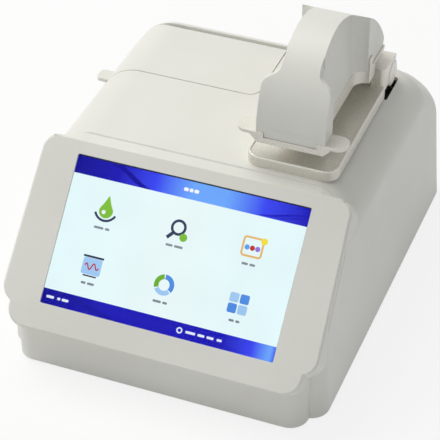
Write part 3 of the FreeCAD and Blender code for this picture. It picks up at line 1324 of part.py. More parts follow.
bench = new_body("spectrometer_housing")
place(bench, "bench_x", "bench_y", "base_floor")
plan = corners("-bench_width / 2", "bench_width / 2", "0", "bench_length")
pad(bench, polygon_sketch(bench, "XY_Plane", plan), "bench_height")
round_edges(bench, "post_radius", upright)
lamp = new_body("flash_lamp")
place(lamp, "lamp_x", "lamp_y", "base_floor")
plan = corners("-lamp_width / 2", "lamp_width / 2", "-lamp_length / 2", "lamp_length / 2")
pad(lamp, polygon_sketch(lamp, "XY_Plane", plan), "lamp_height - lamp_dome_rise")
pad(lamp, circle_sketch(lamp, "XY_Plane", ("0", "0", "lamp_dome")), "lamp_height")
supply = new_body("power_board")
place(supply, "power_x", "power_y", "base_floor + supply_lift")
plan = corners("-supply_width / 2", "supply_width / 2", "-supply_length / 2", "supply_length / 2")
pad(supply, polygon_sketch(supply, "XY_Plane", plan), "board_thickness")
transformer = corners("-supply_width / 4", "supply_width / 10", "-supply_length / 3", "supply_length / 9")
pad(supply, polygon_sketch(supply, "XY_Plane", transformer), "board_thickness + supply_length / 3")
cans = [("supply_width / 4", spot, "supply_width / 12")
        for spot in ("supply_length / 7", "-supply_length / 6")]
pad(supply, circle_sketch(supply, "XY_Plane", *cans), "board_thickness + supply_length / 2.4")

x, y, bench_top = value("deck_x"), value("pedestal_y"), value("bench_top")
stem = value("deck_floor - hub_radius * 0.7")
drop, rise, aside = value("bend_drop"), value("bend_rise"), value("fibre_offset")
feature_part("receive_fibre", moved(tube([(x, y, stem), (x, y, stem - drop),
                                          (x - aside, y + 2 * aside, bench_top + rise),
                                          (x - aside, y + 2 * aside, bench_top)], value("fibre_radius"))))
lamp_x, lamp_y, lamp_top = value("lamp_x"), value("lamp_y"), value("lamp_top")
lug_x, lug_y = value("deck_x - lug_inner - lug_thickness / 2"), value("hinge_y")
lug_z = value("hinge_z - lug_radius")
climb = lug_z - lamp_top
feature_part("lamp_fibre", moved(tube([
    (lamp_x, lamp_y, lamp_top), (lamp_x, lamp_y, lamp_top + climb / 2),
    ((lamp_x + lug_x) / 2, (2 * lamp_y + lug_y) / 3, lamp_top + 0.62 * climb),
    (lug_x - aside, (lamp_y + 4 * lug_y) / 5, lamp_top + 0.6 * climb),
    (lug_x, lug_y, lug_z - climb / 5), (lug_x, lug_y, lug_z)], value("fibre_radius"))))

# check, then write each sub-part

doc.recompute()
for item in doc.Objects:
    if "Invalid" in item.State or "Error" in item.State:
        raise RuntimeError("%s failed: %s" % (item.Label, item.State))
os.makedirs("parts", exist_ok=True)
for item in PARTS:
    shape = item.Shape
    if shape.isNull() or not shape.isValid():
        raise RuntimeError("%s has no valid shape" % item.Label)
    shape.exportStep("parts/%s.step" % item.Label)
    print("%-22s %2d solids %10.0f mm3" % (item.Label, len(shape.Solids), shape.Volume))
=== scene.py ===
import math

import bmesh
import bpy
import numpy as np
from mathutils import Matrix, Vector


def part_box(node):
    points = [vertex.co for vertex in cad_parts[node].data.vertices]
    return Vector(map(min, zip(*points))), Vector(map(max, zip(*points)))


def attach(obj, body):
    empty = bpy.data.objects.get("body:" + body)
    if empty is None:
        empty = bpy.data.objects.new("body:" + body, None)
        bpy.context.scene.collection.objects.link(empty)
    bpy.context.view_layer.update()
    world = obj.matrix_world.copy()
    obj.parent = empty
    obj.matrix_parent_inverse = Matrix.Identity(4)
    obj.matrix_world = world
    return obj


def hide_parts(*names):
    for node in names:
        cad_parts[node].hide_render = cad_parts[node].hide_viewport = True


bl_info = {
    "name": "Microvolume spectrophotometer finish",
    "version": (1, 0, 0),
    "blender": (4, 5, 0),
    "location": "3D View > Sidebar > Instrument",
    "description": "Finishes the packed instrument: mouldings, metalwork, display, rocker marks and stage",
    "category": "Object",
}

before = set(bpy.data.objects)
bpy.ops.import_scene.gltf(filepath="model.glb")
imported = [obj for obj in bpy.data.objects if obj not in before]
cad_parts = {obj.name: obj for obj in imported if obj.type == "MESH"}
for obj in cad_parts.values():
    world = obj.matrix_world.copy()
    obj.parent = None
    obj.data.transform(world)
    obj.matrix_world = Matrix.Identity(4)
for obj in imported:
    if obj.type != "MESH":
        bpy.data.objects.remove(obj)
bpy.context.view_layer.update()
MM = 0.001
PHOTO_SIDE = 440.0              # the photograph's side, in pixels
LAMP_SIZE = 1.2
LAMPS = (("key_lamp", "key_power", (-0.8, 0.2, 1.45), (1.0, 0.985, 0.94)),      # name, power, place, colour
         ("fill_lamp", "fill_power", (-0.4, -1.3, 1.3), (0.96, 0.98, 1.0)),
         ("side_lamp", "side_power", (1.7, -0.2, 0.55), (0.99, 0.99, 1.0)))


class StageSettings(bpy.types.PropertyGroup):
    """Camera, lamps and floor."""

    azimuth: bpy.props.FloatProperty(
        name="Azimuth", description="Camera's turn about the upright axis, from straight in front",
        default=math.radians(21.306), subtype="ANGLE")
    elevation: bpy.props.FloatProperty(
        name="Elevation", description="Camera's height above the horizon",
        default=math.radians(37.741), subtype="ANGLE")
    aim: bpy.props.FloatVectorProperty(
        name="Aim", description="Point that the camera looks at", default=(0.0, -0.020, 0.062),
        unit="LENGTH", subtype="TRANSLATION")
    distance: bpy.props.FloatProperty(
        name="Distance", description="Camera to its aim", default=1.1833, unit="LENGTH")
    lens: bpy.props.FloatProperty(
        name="Lens", description="Focal length for a 36 mm sensor, in millimetres", default=152.52)
    frame_drop: bpy.props.FloatProperty(
        name="Frame drop", description="Pixels by which the photograph is framed off its middle",
        default=-6.885)
    floor_colour: bpy.props.FloatVectorProperty(
        name="Floor", description="Colour of floor and backdrop", default=(0.90, 0.90, 0.90),
        subtype="COLOR")
    floor_white: bpy.props.FloatProperty(
        name="Floor white", description="Share of plain white mixed into the floor as it is seen",
        default=0.82)
    ambient: bpy.props.FloatProperty(
        name="Ambient", description="Strength of the even light from all sides", default=0.34)
    key_power: bpy.props.FloatProperty(
        name="Key lamp", description="Wide lamp high on the left", default=18.6, unit="POWER")
    fill_power: bpy.props.FloatProperty(
        name="Fill lamp", description="Lamp in front, to the left", default=2.5, unit="POWER")
    side_power: bpy.props.FloatProperty(
        name="Side lamp", description="Low wide lamp on the right", default=1.2, unit="POWER")


class FinishSettings(bpy.types.PropertyGroup):
    """Colours of the mouldings and metals."""

    housing: bpy.props.FloatVectorProperty(
        name="Housing", description="Warm off-white of the mouldings", default=(0.80, 0.80, 0.755),
        subtype="COLOR")
    housing_shade: bpy.props.FloatVectorProperty(
        name="Housing shade", description="Slightly darker tone that drifts through the white",
        default=(0.76, 0.758, 0.71), subtype="COLOR")
    deck: bpy.props.FloatVectorProperty(
        name="Deck", description="Grey metallic paint of deck and arm", default=(0.72, 0.70, 0.635),
        subtype="COLOR")
    fall: bpy.props.FloatProperty(
        name="Rear fall", description="How far the cover's upper rear is drawn forward", default=0.0105,
        unit="LENGTH")
    fall_start: bpy.props.FloatProperty(
        name="Fall's start", description="Depth behind which the top falls away", default=0.0862,
        unit="LENGTH")
    fall_end: bpy.props.FloatProperty(
        name="Fall's end", description="Depth from which the rear is drawn forward in full", default=0.108,
        unit="LENGTH")
    fall_low: bpy.props.FloatProperty(
        name="Fall's foot", description="Height below which the rear wall keeps its place", default=0.075,
        unit="LENGTH")
    fall_high: bpy.props.FloatProperty(
        name="Fall's head", description="Height above which the rear is drawn forward in full", default=0.108,
        unit="LENGTH")
    corner: bpy.props.FloatProperty(
        name="Corner", description="How far the rear corners are drawn forward", default=0.0075,
        unit="LENGTH")
    corner_from: bpy.props.FloatProperty(
        name="Corner from", description="Distance from the middle where a corner begins", default=0.084,
        unit="LENGTH")
    corner_to: bpy.props.FloatProperty(
        name="Corner to", description="Distance from the middle where a corner is drawn in full",
        default=0.104, unit="LENGTH")
    corner_start: bpy.props.FloatProperty(
        name="Corner's start", description="Depth behind which a corner begins", default=0.098, unit="LENGTH")
    corner_end: bpy.props.FloatProperty(
        name="Corner's end", description="Depth from which a corner is drawn in full", default=0.132,
        unit="LENGTH")
    corner_low: bpy.props.FloatProperty(
        name="Corner's foot", description="Height below which a corner keeps its place", default=0.012,
        unit="LENGTH")
    corner_high: bpy.props.FloatProperty(
        name="Corner's head", description="Height above which a corner is drawn in full", default=0.045,
        unit="LENGTH")
    grain: bpy.props.FloatProperty(
        name="Grain", description="Size of the moulded texture's grain", default=0.0007, unit="LENGTH")


class DisplaySettings(bpy.types.PropertyGroup):
    """The picture on the display."""

    tilt: bpy.props.FloatProperty(
        name="Tilt", description="Slope of the face from level", default=math.radians(47.0), subtype="ANGLE")
    width: bpy.props.FloatProperty(
        name="Width", description="Window width", default=0.1506, unit="LENGTH")
    height: bpy.props.FloatProperty(
        name="Height", description="Window height along the slope", default=0.0936, unit="LENGTH")
    title_height: bpy.props.FloatProperty(
        name="Title bar", description="Height of the bar along the top", default=0.0108, unit="LENGTH")
    status_height: bpy.props.FloatProperty(
        name="Status bar", description="Height of the bar along the bottom", default=0.0094, unit="LENGTH")
    mask: bpy.props.FloatProperty(
        name="Mask", description="Black margin seen at the top and the right", default=0.0007, unit="LENGTH")
    deep_blue: bpy.props.FloatVectorProperty(
        name="Deep blue", description="Bars at their ends", default=(0.007, 0.006, 0.30), subtype="COLOR")
    blue: bpy.props.FloatVectorProperty(
        name="Blue", description="Bars between end and middle", default=(0.045, 0.065, 0.90), subtype="COLOR")
    sky_blue: bpy.props.FloatVectorProperty(
        name="Sky blue", description="Bars at their bright spot", default=(0.16, 0.40, 1.0), subtype="COLOR")
    blue_dark: bpy.props.FloatVectorProperty(
        name="Dark blue", description="Bars near their ends", default=(0.012, 0.010, 0.48), subtype="COLOR")
    field: bpy.props.FloatVectorProperty(
        name="Field", description="Ground of the picture", default=(0.80, 0.98, 1.0), subtype="COLOR")
    field_warm: bpy.props.FloatVectorProperty(
        name="Field, warmer", description="Ground of the picture near its middle",
        default=(0.84, 0.97, 0.98), subtype="COLOR")
    glow: bpy.props.FloatProperty(
        name="Glow", description="Light that the display gives off", default=1.22)
    glass_margin: bpy.props.FloatProperty(
        name="Glass margin", description="Glass behind the window's edge", default=0.003, unit="LENGTH")
    glass_corner: bpy.props.FloatProperty(
        name="Glass corner", description="Corner radius of the cover glass", default=0.001, unit="LENGTH")
    glass_thickness: bpy.props.FloatProperty(
        name="Glass thickness", description="Thickness of the cover glass", default=0.0014, unit="LENGTH")
    layer: bpy.props.FloatProperty(
        name="Layer", description="Room for the picture behind the glass", default=0.0001, unit="LENGTH")
    sign_size: bpy.props.FloatProperty(
        name="Sign size", description="Width of a sign", default=0.0138, unit="LENGTH")
    sign_pitch: bpy.props.FloatProperty(
        name="Sign pitch", description="From one sign to the next", default=0.0475, unit="LENGTH")
    sign_row: bpy.props.FloatProperty(
        name="Row pitch", description="From one row of signs to the other", default=0.0345, unit="LENGTH")
    sign_aside: bpy.props.FloatProperty(
        name="Signs aside", description="Middle sign off the window's middle", default=-0.0020, unit="LENGTH")
    sign_lift: bpy.props.FloatProperty(
        name="Rows' lift", description="Middle of the two rows above the window's middle", default=-0.0010,
        unit="LENGTH")


class RearSettings(bpy.types.PropertyGroup):
    """Marks on the power rocker."""

    upper: bpy.props.FloatVectorProperty(
        name="Upper face", description="Middle of the rocker's upper face",
        default=(-0.030, 0.13641, 0.04824),
        unit="LENGTH", subtype="TRANSLATION")
    lower: bpy.props.FloatVectorProperty(
        name="Lower face", description="Middle of the rocker's lower face",
        default=(-0.030, 0.13770, 0.04075),
        unit="LENGTH", subtype="TRANSLATION")
    upper_lean: bpy.props.FloatProperty(
        name="Upper lean", description="Lean of the upper face from upright", default=math.radians(17.30),
        subtype="ANGLE")
    lower_lean: bpy.props.FloatProperty(
        name="Lower lean", description="Lean of the lower face from upright", default=math.radians(2.24),
        subtype="ANGLE")
    mark_height: bpy.props.FloatProperty(
        name="Mark height", description="Height of a mark", default=0.0036, unit="LENGTH")
    mark_stroke: bpy.props.FloatProperty(
        name="Mark stroke", description="Width of a mark's line", default=0.0006, unit="LENGTH")
    mark_rise: bpy.props.FloatProperty(
        name="Mark rise", description="How far a mark stands out of the rocker", default=0.00008,
        unit="LENGTH")


class SpectroSettings(bpy.types.PropertyGroup):
    """All settings of the instrument's finish."""

    stage: bpy.props.PointerProperty(type=StageSettings)
    finish: bpy.props.PointerProperty(type=FinishSettings)
    display: bpy.props.PointerProperty(type=DisplaySettings)
    rear: bpy.props.PointerProperty(type=RearSettings)


def settings():
    """The scene's settings for this instrument."""
    return bpy.context.scene.spectro_finish


# node material helpers

def material(name):
    """A new node material, its tree and its shader."""
    made = bpy.data.materials.new(name)
    made.use_nodes = True
    tree = made.node_tree
    shader = tree.nodes["Principled BSDF"]
    return made, tree, shader


def add(tree, kind, **sockets):
    """A node with some of its sockets set by name."""
    node = tree.nodes.new(kind)
    for name, number in sockets.items():
        node.inputs[name.replace("_", " ")].default_value = number
    return node


def noise(tree, scale, detail=3.0, stretch=(1.0, 1.0, 1.0), rough=0.5):
    """Noise on Object coordinates; stretch pulls its grain along an axis."""
    place = tree.nodes.new("ShaderNodeTexCoord")
    mapping = tree.nodes.new("ShaderNodeMapping")
    mapping.inputs["Scale"].default_value = stretch
    texture = add(tree, "ShaderNodeTexNoise", Scale=scale, Detail=detail, Roughness=rough)
    tree.links.new(place.outputs["Object"], mapping.inputs["Vector"])
    tree.links.new(mapping.outputs["Vector"], texture.inputs["Vector"])
    return texture.outputs["Fac"]


def ramp(tree, source, stops, smooth=False):
    """Colour ramp; stops are (place, colour)."""
    node = tree.nodes.new("ShaderNodeValToRGB")
    node.color_ramp.interpolation = "EASE" if smooth else "LINEAR"
    items = node.color_ramp.elements
    while len(items) < len(stops):
        items.new(0.5)
    for item, (place, colour) in zip(items, stops):
        item.position = place
        item.color = (*colour, 1.0)
    tree.links.new(source, node.inputs["Fac"])
    return node.outputs["Color"]


def level(tree, source, low, high):
    """Spreads a 0 to 1 value between low and high."""
    node = add(tree, "ShaderNodeMapRange")
    node.inputs["To Min"].default_value = low
    node.inputs["To Max"].default_value = high
    tree.links.new(source, node.inputs["Value"])
    return node.outputs["Result"]


def relief(tree, shader, source, depth, edge=0.0):
    """Bump of a given depth in metres, over edges softened to a radius."""
    bump = tree.nodes.new("ShaderNodeBump")
    bump.inputs["Strength"].default_value = 1.0
    bump.inputs["Distance"].default_value = depth
    tree.links.new(source, bump.inputs["Height"])
    if edge:
        soft = add(tree, "ShaderNodeBevel", Radius=edge)
        soft.samples = 6
        tree.links.new(soft.outputs["Normal"], bump.inputs["Normal"])
    tree.links.new(bump.outputs["Normal"], shader.inputs["Normal"])


def looked_at(tree):
    """1 for what the camera sees, directly, in gloss or through glass, and 0 for light that bounces."""
    rays = tree.nodes.new("ShaderNodeLightPath")
    share = rays.outputs["Is Camera Ray"]
    for kind in ("Is Glossy Ray", "Is Transmission Ray"):
        either = tree.nodes.new("ShaderNodeMath")
        either.operation = "MAXIMUM"
        tree.links.new(share, either.inputs[0])
        tree.links.new(rays.outputs[kind], either.inputs[1])
        share = either.outputs["Value"]
    return share


def moulded(name, light, dark, rough, grain, depth, edge=0.0):
    """Moulded plastic: a slow drift of tone, a fine eroded texture and slightly uneven gloss."""
    made, tree, shader = material(name)
    drift = noise(tree, 14.0, 2.0)
    tree.links.new(ramp(tree, drift, [(0.35, dark), (0.65, light)]), shader.inputs["Base Color"])
    fine = noise(tree, 1.0 / grain, 2.0)
    tree.links.new(level(tree, fine, rough - 0.05, rough + 0.05), shader.inputs["Roughness"])
    relief(tree, shader, fine, depth, edge)
    return made


def metallic_paint(name, colour, edge):
    """Satin metallic paint: pale flakes in a grey coat, a touch of orange peel."""
    made, tree, shader = material(name)
    flakes = noise(tree, 2600.0, 1.0)
    dark = tuple(0.86 * c for c in colour)
    light = tuple(1.16 * c for c in colour)
    tree.links.new(ramp(tree, flakes, [(0.38, dark), (0.62, light)]), shader.inputs["Base Color"])
    shader.inputs["Metallic"].default_value = 0.35
    shader.inputs["Roughness"].default_value = 0.36
    shader.inputs["Coat Weight"].default_value = 0.25
    shader.inputs["Coat Roughness"].default_value = 0.3
    relief(tree, shader, noise(tree, 420.0, 2.0), 0.00002, edge)
    return made


def brushed_metal(name, colour, rough, stretch=(1.0, 1.0, 14.0), edge=0.0):
    """Metal with fine lines left by the tool, along one axis."""
    made, tree, shader = material(name)
    lines = noise(tree, 900.0, 3.0, stretch)
    dark = tuple(0.8 * c for c in colour)
    tree.links.new(ramp(tree, lines, [(0.3, dark), (0.7, colour)]), shader.inputs["Base Color"])
    shader.inputs["Metallic"].default_value = 1.0
    tree.links.new(level(tree, lines, rough - 0.06, rough + 0.08), shader.inputs["Roughness"])
    relief(tree, shader, lines, 0.000006, edge)
    return made


def circuit_board(name):
    """Solder mask over tracks: paler lines on a fine square grid, with small tinned pads."""
    made, tree, shader = material(name)
    place = tree.nodes.new("ShaderNodeTexCoord")
    tracks = add(tree, "ShaderNodeTexBrick", Scale=260.0)
    tracks.inputs["Mortar Size"].default_value = 0.06
    tracks.inputs["Color1"].default_value = (0.012, 0.11, 0.045, 1.0)
    tracks.inputs["Color2"].default_value = (0.016, 0.15, 0.06, 1.0)
    tracks.inputs["Mortar"].default_value = (0.05, 0.26, 0.10, 1.0)
    tree.links.new(place.outputs["Object"], tracks.inputs["Vector"])
    tree.links.new(tracks.outputs["Color"], shader.inputs["Base Color"])
    shader.inputs["Roughness"].default_value = 0.35
    relief(tree, shader, tracks.outputs["Fac"], 0.00003)
    return made


def finish_node(name, made):
    """Gives a CAD node its material."""
    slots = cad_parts[name].data.materials
    slots.clear()
    slots.append(made)


# mesh helpers

def grid_faces(rows, columns, loop):
    """Quads of a grid whose columns wrap; with loop its rows wrap too."""
    last = rows if loop else rows - 1
    i, j = np.meshgrid(np.arange(last), np.arange(columns), indexing="ij")
    a = i * columns + j
    b = i * columns + (j + 1) % columns
    c = ((i + 1) % rows) * columns + (j + 1) % columns
    d = ((i + 1) % rows) * columns + j
    return np.stack([a, b, c, d], -1).reshape(-1, 4)


def piece(name, forms, made, body, place):
    """One mesh from closed grids, each a tuple of points, loop and material number.

    place turns a grid's points into the object's frame. Equal points are joined, which closes
    the poles, and the faces are turned outwards.
    """
    points, faces, numbers = [], [], []
    count = 0
    for grid, loop, number in forms:
        rows, columns = grid.shape[:2]
        quads = grid_faces(rows, columns, loop)
        points.append(place(grid).reshape(-1, 3))
        faces.append(quads + count)
        numbers.append(np.full(len(quads), number))
        count += rows * columns
    mesh = bpy.data.meshes.new(name)
    mesh.from_pydata(np.concatenate(points).tolist(), [], np.concatenate(faces).tolist())
    for item in made:
        mesh.materials.append(item)
    mesh.polygons.foreach_set("material_index", np.concatenate(numbers))
    joined = bmesh.new()
    joined.from_mesh(mesh)
    bmesh.ops.remove_doubles(joined, verts=joined.verts, dist=1e-7)
    bmesh.ops.recalc_face_normals(joined, faces=joined.faces)
    joined.to_mesh(mesh)
    joined.free()
    mesh.update()
    item = bpy.data.objects.new(name, mesh)
    bpy.context.scene.collection.objects.link(item)
    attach(item, body)
    return item


def slab(outline, low, high, number=0, soft=0.0):
    """Flat plate: its outline at two heights, each closed by a point in the middle.

    The rows are middle, outline, outline, middle. With soft, the upper outline is drawn in by
    that share and one more row stands below it, which breaks the edge.
    """
    centre = (outline.max(0) + outline.min(0)) / 2
    thick = high - low
    rows = [(0.0, low), (1.0, low), (1.0, high - thick * 0.4 * bool(soft))]
    rows += [(1.0 - soft, high)] if soft else []
    rows += [(0.0, high)]
    share = np.array([row[0] for row in rows])[:, None, None]
    level_of = np.array([row[1] for row in rows])[:, None]
    flat = centre + share * (outline[None] - centre)
    height = np.broadcast_to(level_of, flat.shape[:2])
    return np.concatenate([flat, height[..., None]], -1), False, number


def ribbon(path, width, low, high, number=0, loop=False):
    """Flat band along a path: at each point a rectangle, as wide as width, square to the run.

    An open band starts and ends in a point, a closed one joins its own start.
    """
    if loop:
        run = np.roll(path, -1, 0) - np.roll(path, 1, 0)
    else:
        run = np.gradient(path, axis=0)
    side = np.stack([-run[:, 1], run[:, 0]], -1)
    side *= (np.asarray(width) / 2 / np.linalg.norm(side, axis=1))[..., None]
    left, right = path + side, path - side
    flat = np.stack([left, left, right, right], 1)
    height = np.broadcast_to(np.array([low, high, high, low]), flat.shape[:2])
    band = np.concatenate([flat, height[..., None]], -1)
    if not loop:
        ends = [np.broadcast_to(band[k].mean(0), (1, 4, 3)) for k in (0, -1)]
        band = np.concatenate([ends[0], band, ends[1]], 0)
    return band, loop, number


def smooth_step(numbers, start, end):
    """Smooth step 3t^2 - 2t^3 from start to end, and its slope 6t(1 - t) over their distance."""
    share = np.clip((numbers - start) / (end - start), 0.0, 1.0)
    return share ** 2 * (3 - 2 * share), 6 * share * (1 - share) / (end - start)


def reshaped(name, node, shift):
    """Copy of a CAD node with its points moved, its equal points joined and its normals kept true.

    shift gives, for points, how far each moves forward and the slopes of that along x, y and z.
    A normal is turned by the inverse of the move's own slope.
    """
    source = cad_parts[node].data
    spots = np.empty(len(source.vertices) * 3)
    source.vertices.foreach_get("co", spots)
    corner = np.empty(len(source.loops), dtype=int)
    source.loops.foreach_get("vertex_index", corner)
    normals = np.empty(len(corner) * 3)
    source.corner_normals.foreach_get("vector", normals)
    spots, normals = spots.reshape(-1, 3), normals.reshape(-1, 3)
    _, first, number = np.unique(np.round(spots / 1e-6), axis=0, return_index=True, return_inverse=True)
    faces = number.ravel()[corner].reshape(-1, 3)
    whole = (faces[:, 0] != faces[:, 1]) & (faces[:, 1] != faces[:, 2]) & (faces[:, 2] != faces[:, 0])
    slope = shift(spots[corner])[1]
    normals[:, 1] /= 1.0 - slope[:, 1]
    normals[:, 0] += slope[:, 0] * normals[:, 1]
    normals[:, 2] += slope[:, 2] * normals[:, 1]
    normals /= np.linalg.norm(normals, axis=1)[:, None]
    joined = spots[first]
    joined[:, 1] -= shift(joined)[0]
    mesh = bpy.data.meshes.new(name)
    mesh.from_pydata(joined.tolist(), [], faces[whole].tolist())
    mesh.shade_smooth()
    mesh.normals_split_custom_set(normals.reshape(-1, 3, 3)[whole].reshape(-1, 3).tolist())
    item = bpy.data.objects.new(name, mesh)
    bpy.context.scene.collection.objects.link(item)
    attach(item, "base")
    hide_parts(node)
    return item


def disc(x, y, radius, count=40):
    """Circle: the middle plus the radius times the cosine and sine of the angle."""
    angle = np.linspace(0.0, 2 * math.pi, count, endpoint=False)
    return np.stack([x + radius * np.cos(angle), y + radius * np.sin(angle)], -1)


def card(x, y, width, height, corner, count=6):
    """Rectangle with round corners: a circle of the corner's radius moved out to each corner."""
    angle = np.linspace(0.0, math.pi / 2, count) + np.arange(4)[:, None] * math.pi / 2
    sign_x = np.array([1, -1, -1, 1])[:, None]
    sign_y = np.array([1, 1, -1, -1])[:, None]
    across = x + sign_x * (width / 2 - corner) + corner * np.cos(angle)
    along = y + sign_y * (height / 2 - corner) + corner * np.sin(angle)
    return np.stack([across.ravel(), along.ravel()], -1)


def drop(x, y, radius, tall, count=44):
    """Drop: a circle whose upper half narrows by the square of the sine and rises to a tip by its fourth."""
    angle = np.linspace(0.0, 2 * math.pi, count, endpoint=False)
    up = np.clip(np.sin(angle), 0.0, 1.0)
    across = x + radius * np.cos(angle) * (1.0 - 0.55 * up ** 2)
    along = y + radius * np.sin(angle) + (tall - radius) * up ** 4
    return np.stack([across, along], -1)


def sector(x, y, radius, start, end, count=24):
    """Part of a circle's line between two angles in degrees."""
    angle = np.radians(np.linspace(start, end, count))
    return np.stack([x + radius * np.cos(angle), y + radius * np.sin(angle)], -1)


def middle_of(node):
    """Middle of a CAD node's box."""
    low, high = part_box(node)
    return np.array((low + high) / 2)


def on_display(points):
    """Points given as across, up the slope and out of the face, from the cover glass's middle."""
    tilt = settings().display.tilt
    across = np.array([1.0, 0.0, 0.0])
    up = np.array([0.0, math.cos(tilt), math.sin(tilt)])
    out = np.array([0.0, -math.sin(tilt), math.cos(tilt)])
    return (middle_of("display_glass") + points[..., 0:1] * across + points[..., 1:2] * up
            + points[..., 2:3] * out)


def on_face(points, middle, lean):
    """Points given as across, up and out of a rear face that leans forward, from its middle."""
    up = np.array([0.0, -math.sin(lean), math.cos(lean)])
    out = np.array([0.0, math.cos(lean), math.sin(lean)])
    across = np.array([-1.0, 0.0, 0.0])
    return np.array(middle) + points[..., 0:1] * across + points[..., 1:2] * up + points[..., 2:3] * out


class SPECTRO_OT_stage(bpy.types.Operator):
    """Set the camera at the photograph's angle, with soft lamps and a pale floor"""

    bl_idname = "spectro.stage"
    bl_label = "Stage"

    def execute(self, context):
        made = settings().stage
        scene = context.scene
        scene.view_settings.view_transform = "Standard"
        camera = bpy.data.objects.new("camera", bpy.data.cameras.new("camera"))
        scene.collection.objects.link(camera)
        a, e = made.azimuth, made.elevation
        back = Vector((math.sin(a) * math.cos(e), -math.cos(a) * math.cos(e), math.sin(e)))
        camera.location = Vector(made.aim) + back * made.distance
        camera.rotation_euler = (-back).to_track_quat("-Z", "Y").to_euler()
        camera.data.sensor_width = 36.0
        camera.data.lens = made.lens
        camera.data.shift_y = made.frame_drop / PHOTO_SIDE
        camera.data.clip_start = 0.05
        camera.data.clip_end = 20.0
        scene.camera = camera
        self.floor(made)
        self.world(made)
        for name, power, place, colour in LAMPS:
            self.lamp(name, getattr(made, power), place, colour)
        return {"FINISHED"}

    def floor(self, made):
        """Flat floor that curves up into a backdrop: height is a quarter circle of the depth behind."""
        reach, radius = 4.0, 2.0
        across = np.linspace(-reach, reach, 2)
        along = np.linspace(-reach, reach, 60)
        bend = np.clip(along - (reach - radius), 0.0, radius)
        rise = radius - np.sqrt(radius ** 2 - bend ** 2)
        x, y = np.meshgrid(across, along, indexing="xy")
        z = np.repeat(rise[:, None], 2, axis=1)
        points = np.stack([x, y, z], -1)
        mesh = bpy.data.meshes.new("floor")
        rows, columns = points.shape[:2]
        i, j = np.meshgrid(np.arange(rows - 1), np.arange(columns - 1), indexing="ij")
        a = i * columns + j
        faces = np.stack([a, a + 1, a + columns + 1, a + columns], -1).reshape(-1, 4)
        mesh.from_pydata(points.reshape(-1, 3).tolist(), [], faces.tolist())
        floor = bpy.data.objects.new("floor", mesh)
        bpy.context.scene.collection.objects.link(floor)
        paint, tree, shader = material("floor_white")
        shader.inputs["Base Color"].default_value = (*made.floor_colour, 1.0)
        shader.inputs["Roughness"].default_value = 0.9
        shader.inputs["Specular IOR Level"].default_value = 0.1
        glow = add(tree, "ShaderNodeEmission", Strength=1.0)
        glow.inputs["Color"].default_value = (1.0, 1.0, 1.0, 1.0)
        share = tree.nodes.new("ShaderNodeMath")
        share.operation = "MULTIPLY"
        share.inputs[1].default_value = made.floor_white
        tree.links.new(looked_at(tree), share.inputs[0])
        mix = tree.nodes.new("ShaderNodeMixShader")
        tree.links.new(share.outputs["Value"], mix.inputs["Fac"])
        tree.links.new(shader.outputs["BSDF"], mix.inputs[1])
        tree.links.new(glow.outputs["Emission"], mix.inputs[2])
        tree.links.new(mix.outputs["Shader"], tree.nodes["Material Output"].inputs["Surface"])
        mesh.materials.append(paint)

    def world(self, made):
        """White to the camera and in gloss and glass, a plain even grey-white as light."""
        world = bpy.data.worlds.new("studio")
        bpy.context.scene.world = world
        world.use_nodes = True
        tree = world.node_tree
        light = tree.nodes["Background"]
        light.inputs["Color"].default_value = (1.0, 1.0, 1.0, 1.0)
        light.inputs["Strength"].default_value = made.ambient
        white = tree.nodes.new("ShaderNodeBackground")
        white.inputs["Color"].default_value = (1.0, 1.0, 1.0, 1.0)
        mix = tree.nodes.new("ShaderNodeMixShader")
        tree.links.new(looked_at(tree), mix.inputs["Fac"])
        tree.links.new(light.outputs["Background"], mix.inputs[1])
        tree.links.new(white.outputs["Background"], mix.inputs[2])
        tree.links.new(mix.outputs["Shader"], tree.nodes["World Output"].inputs["Surface"])

    def lamp(self, name, power, place, colour):
        """Square area lamp that points at the middle of the floor."""
        data = bpy.data.lights.new(name, "AREA")
        data.energy = power
        data.color = colour
        data.size = LAMP_SIZE
        lamp = bpy.data.objects.new(name, data)
        lamp.location = place
        lamp.rotation_euler = (-Vector(place)).to_track_quat("-Z", "Y").to_euler()
        bpy.context.scene.collection.objects.link(lamp)


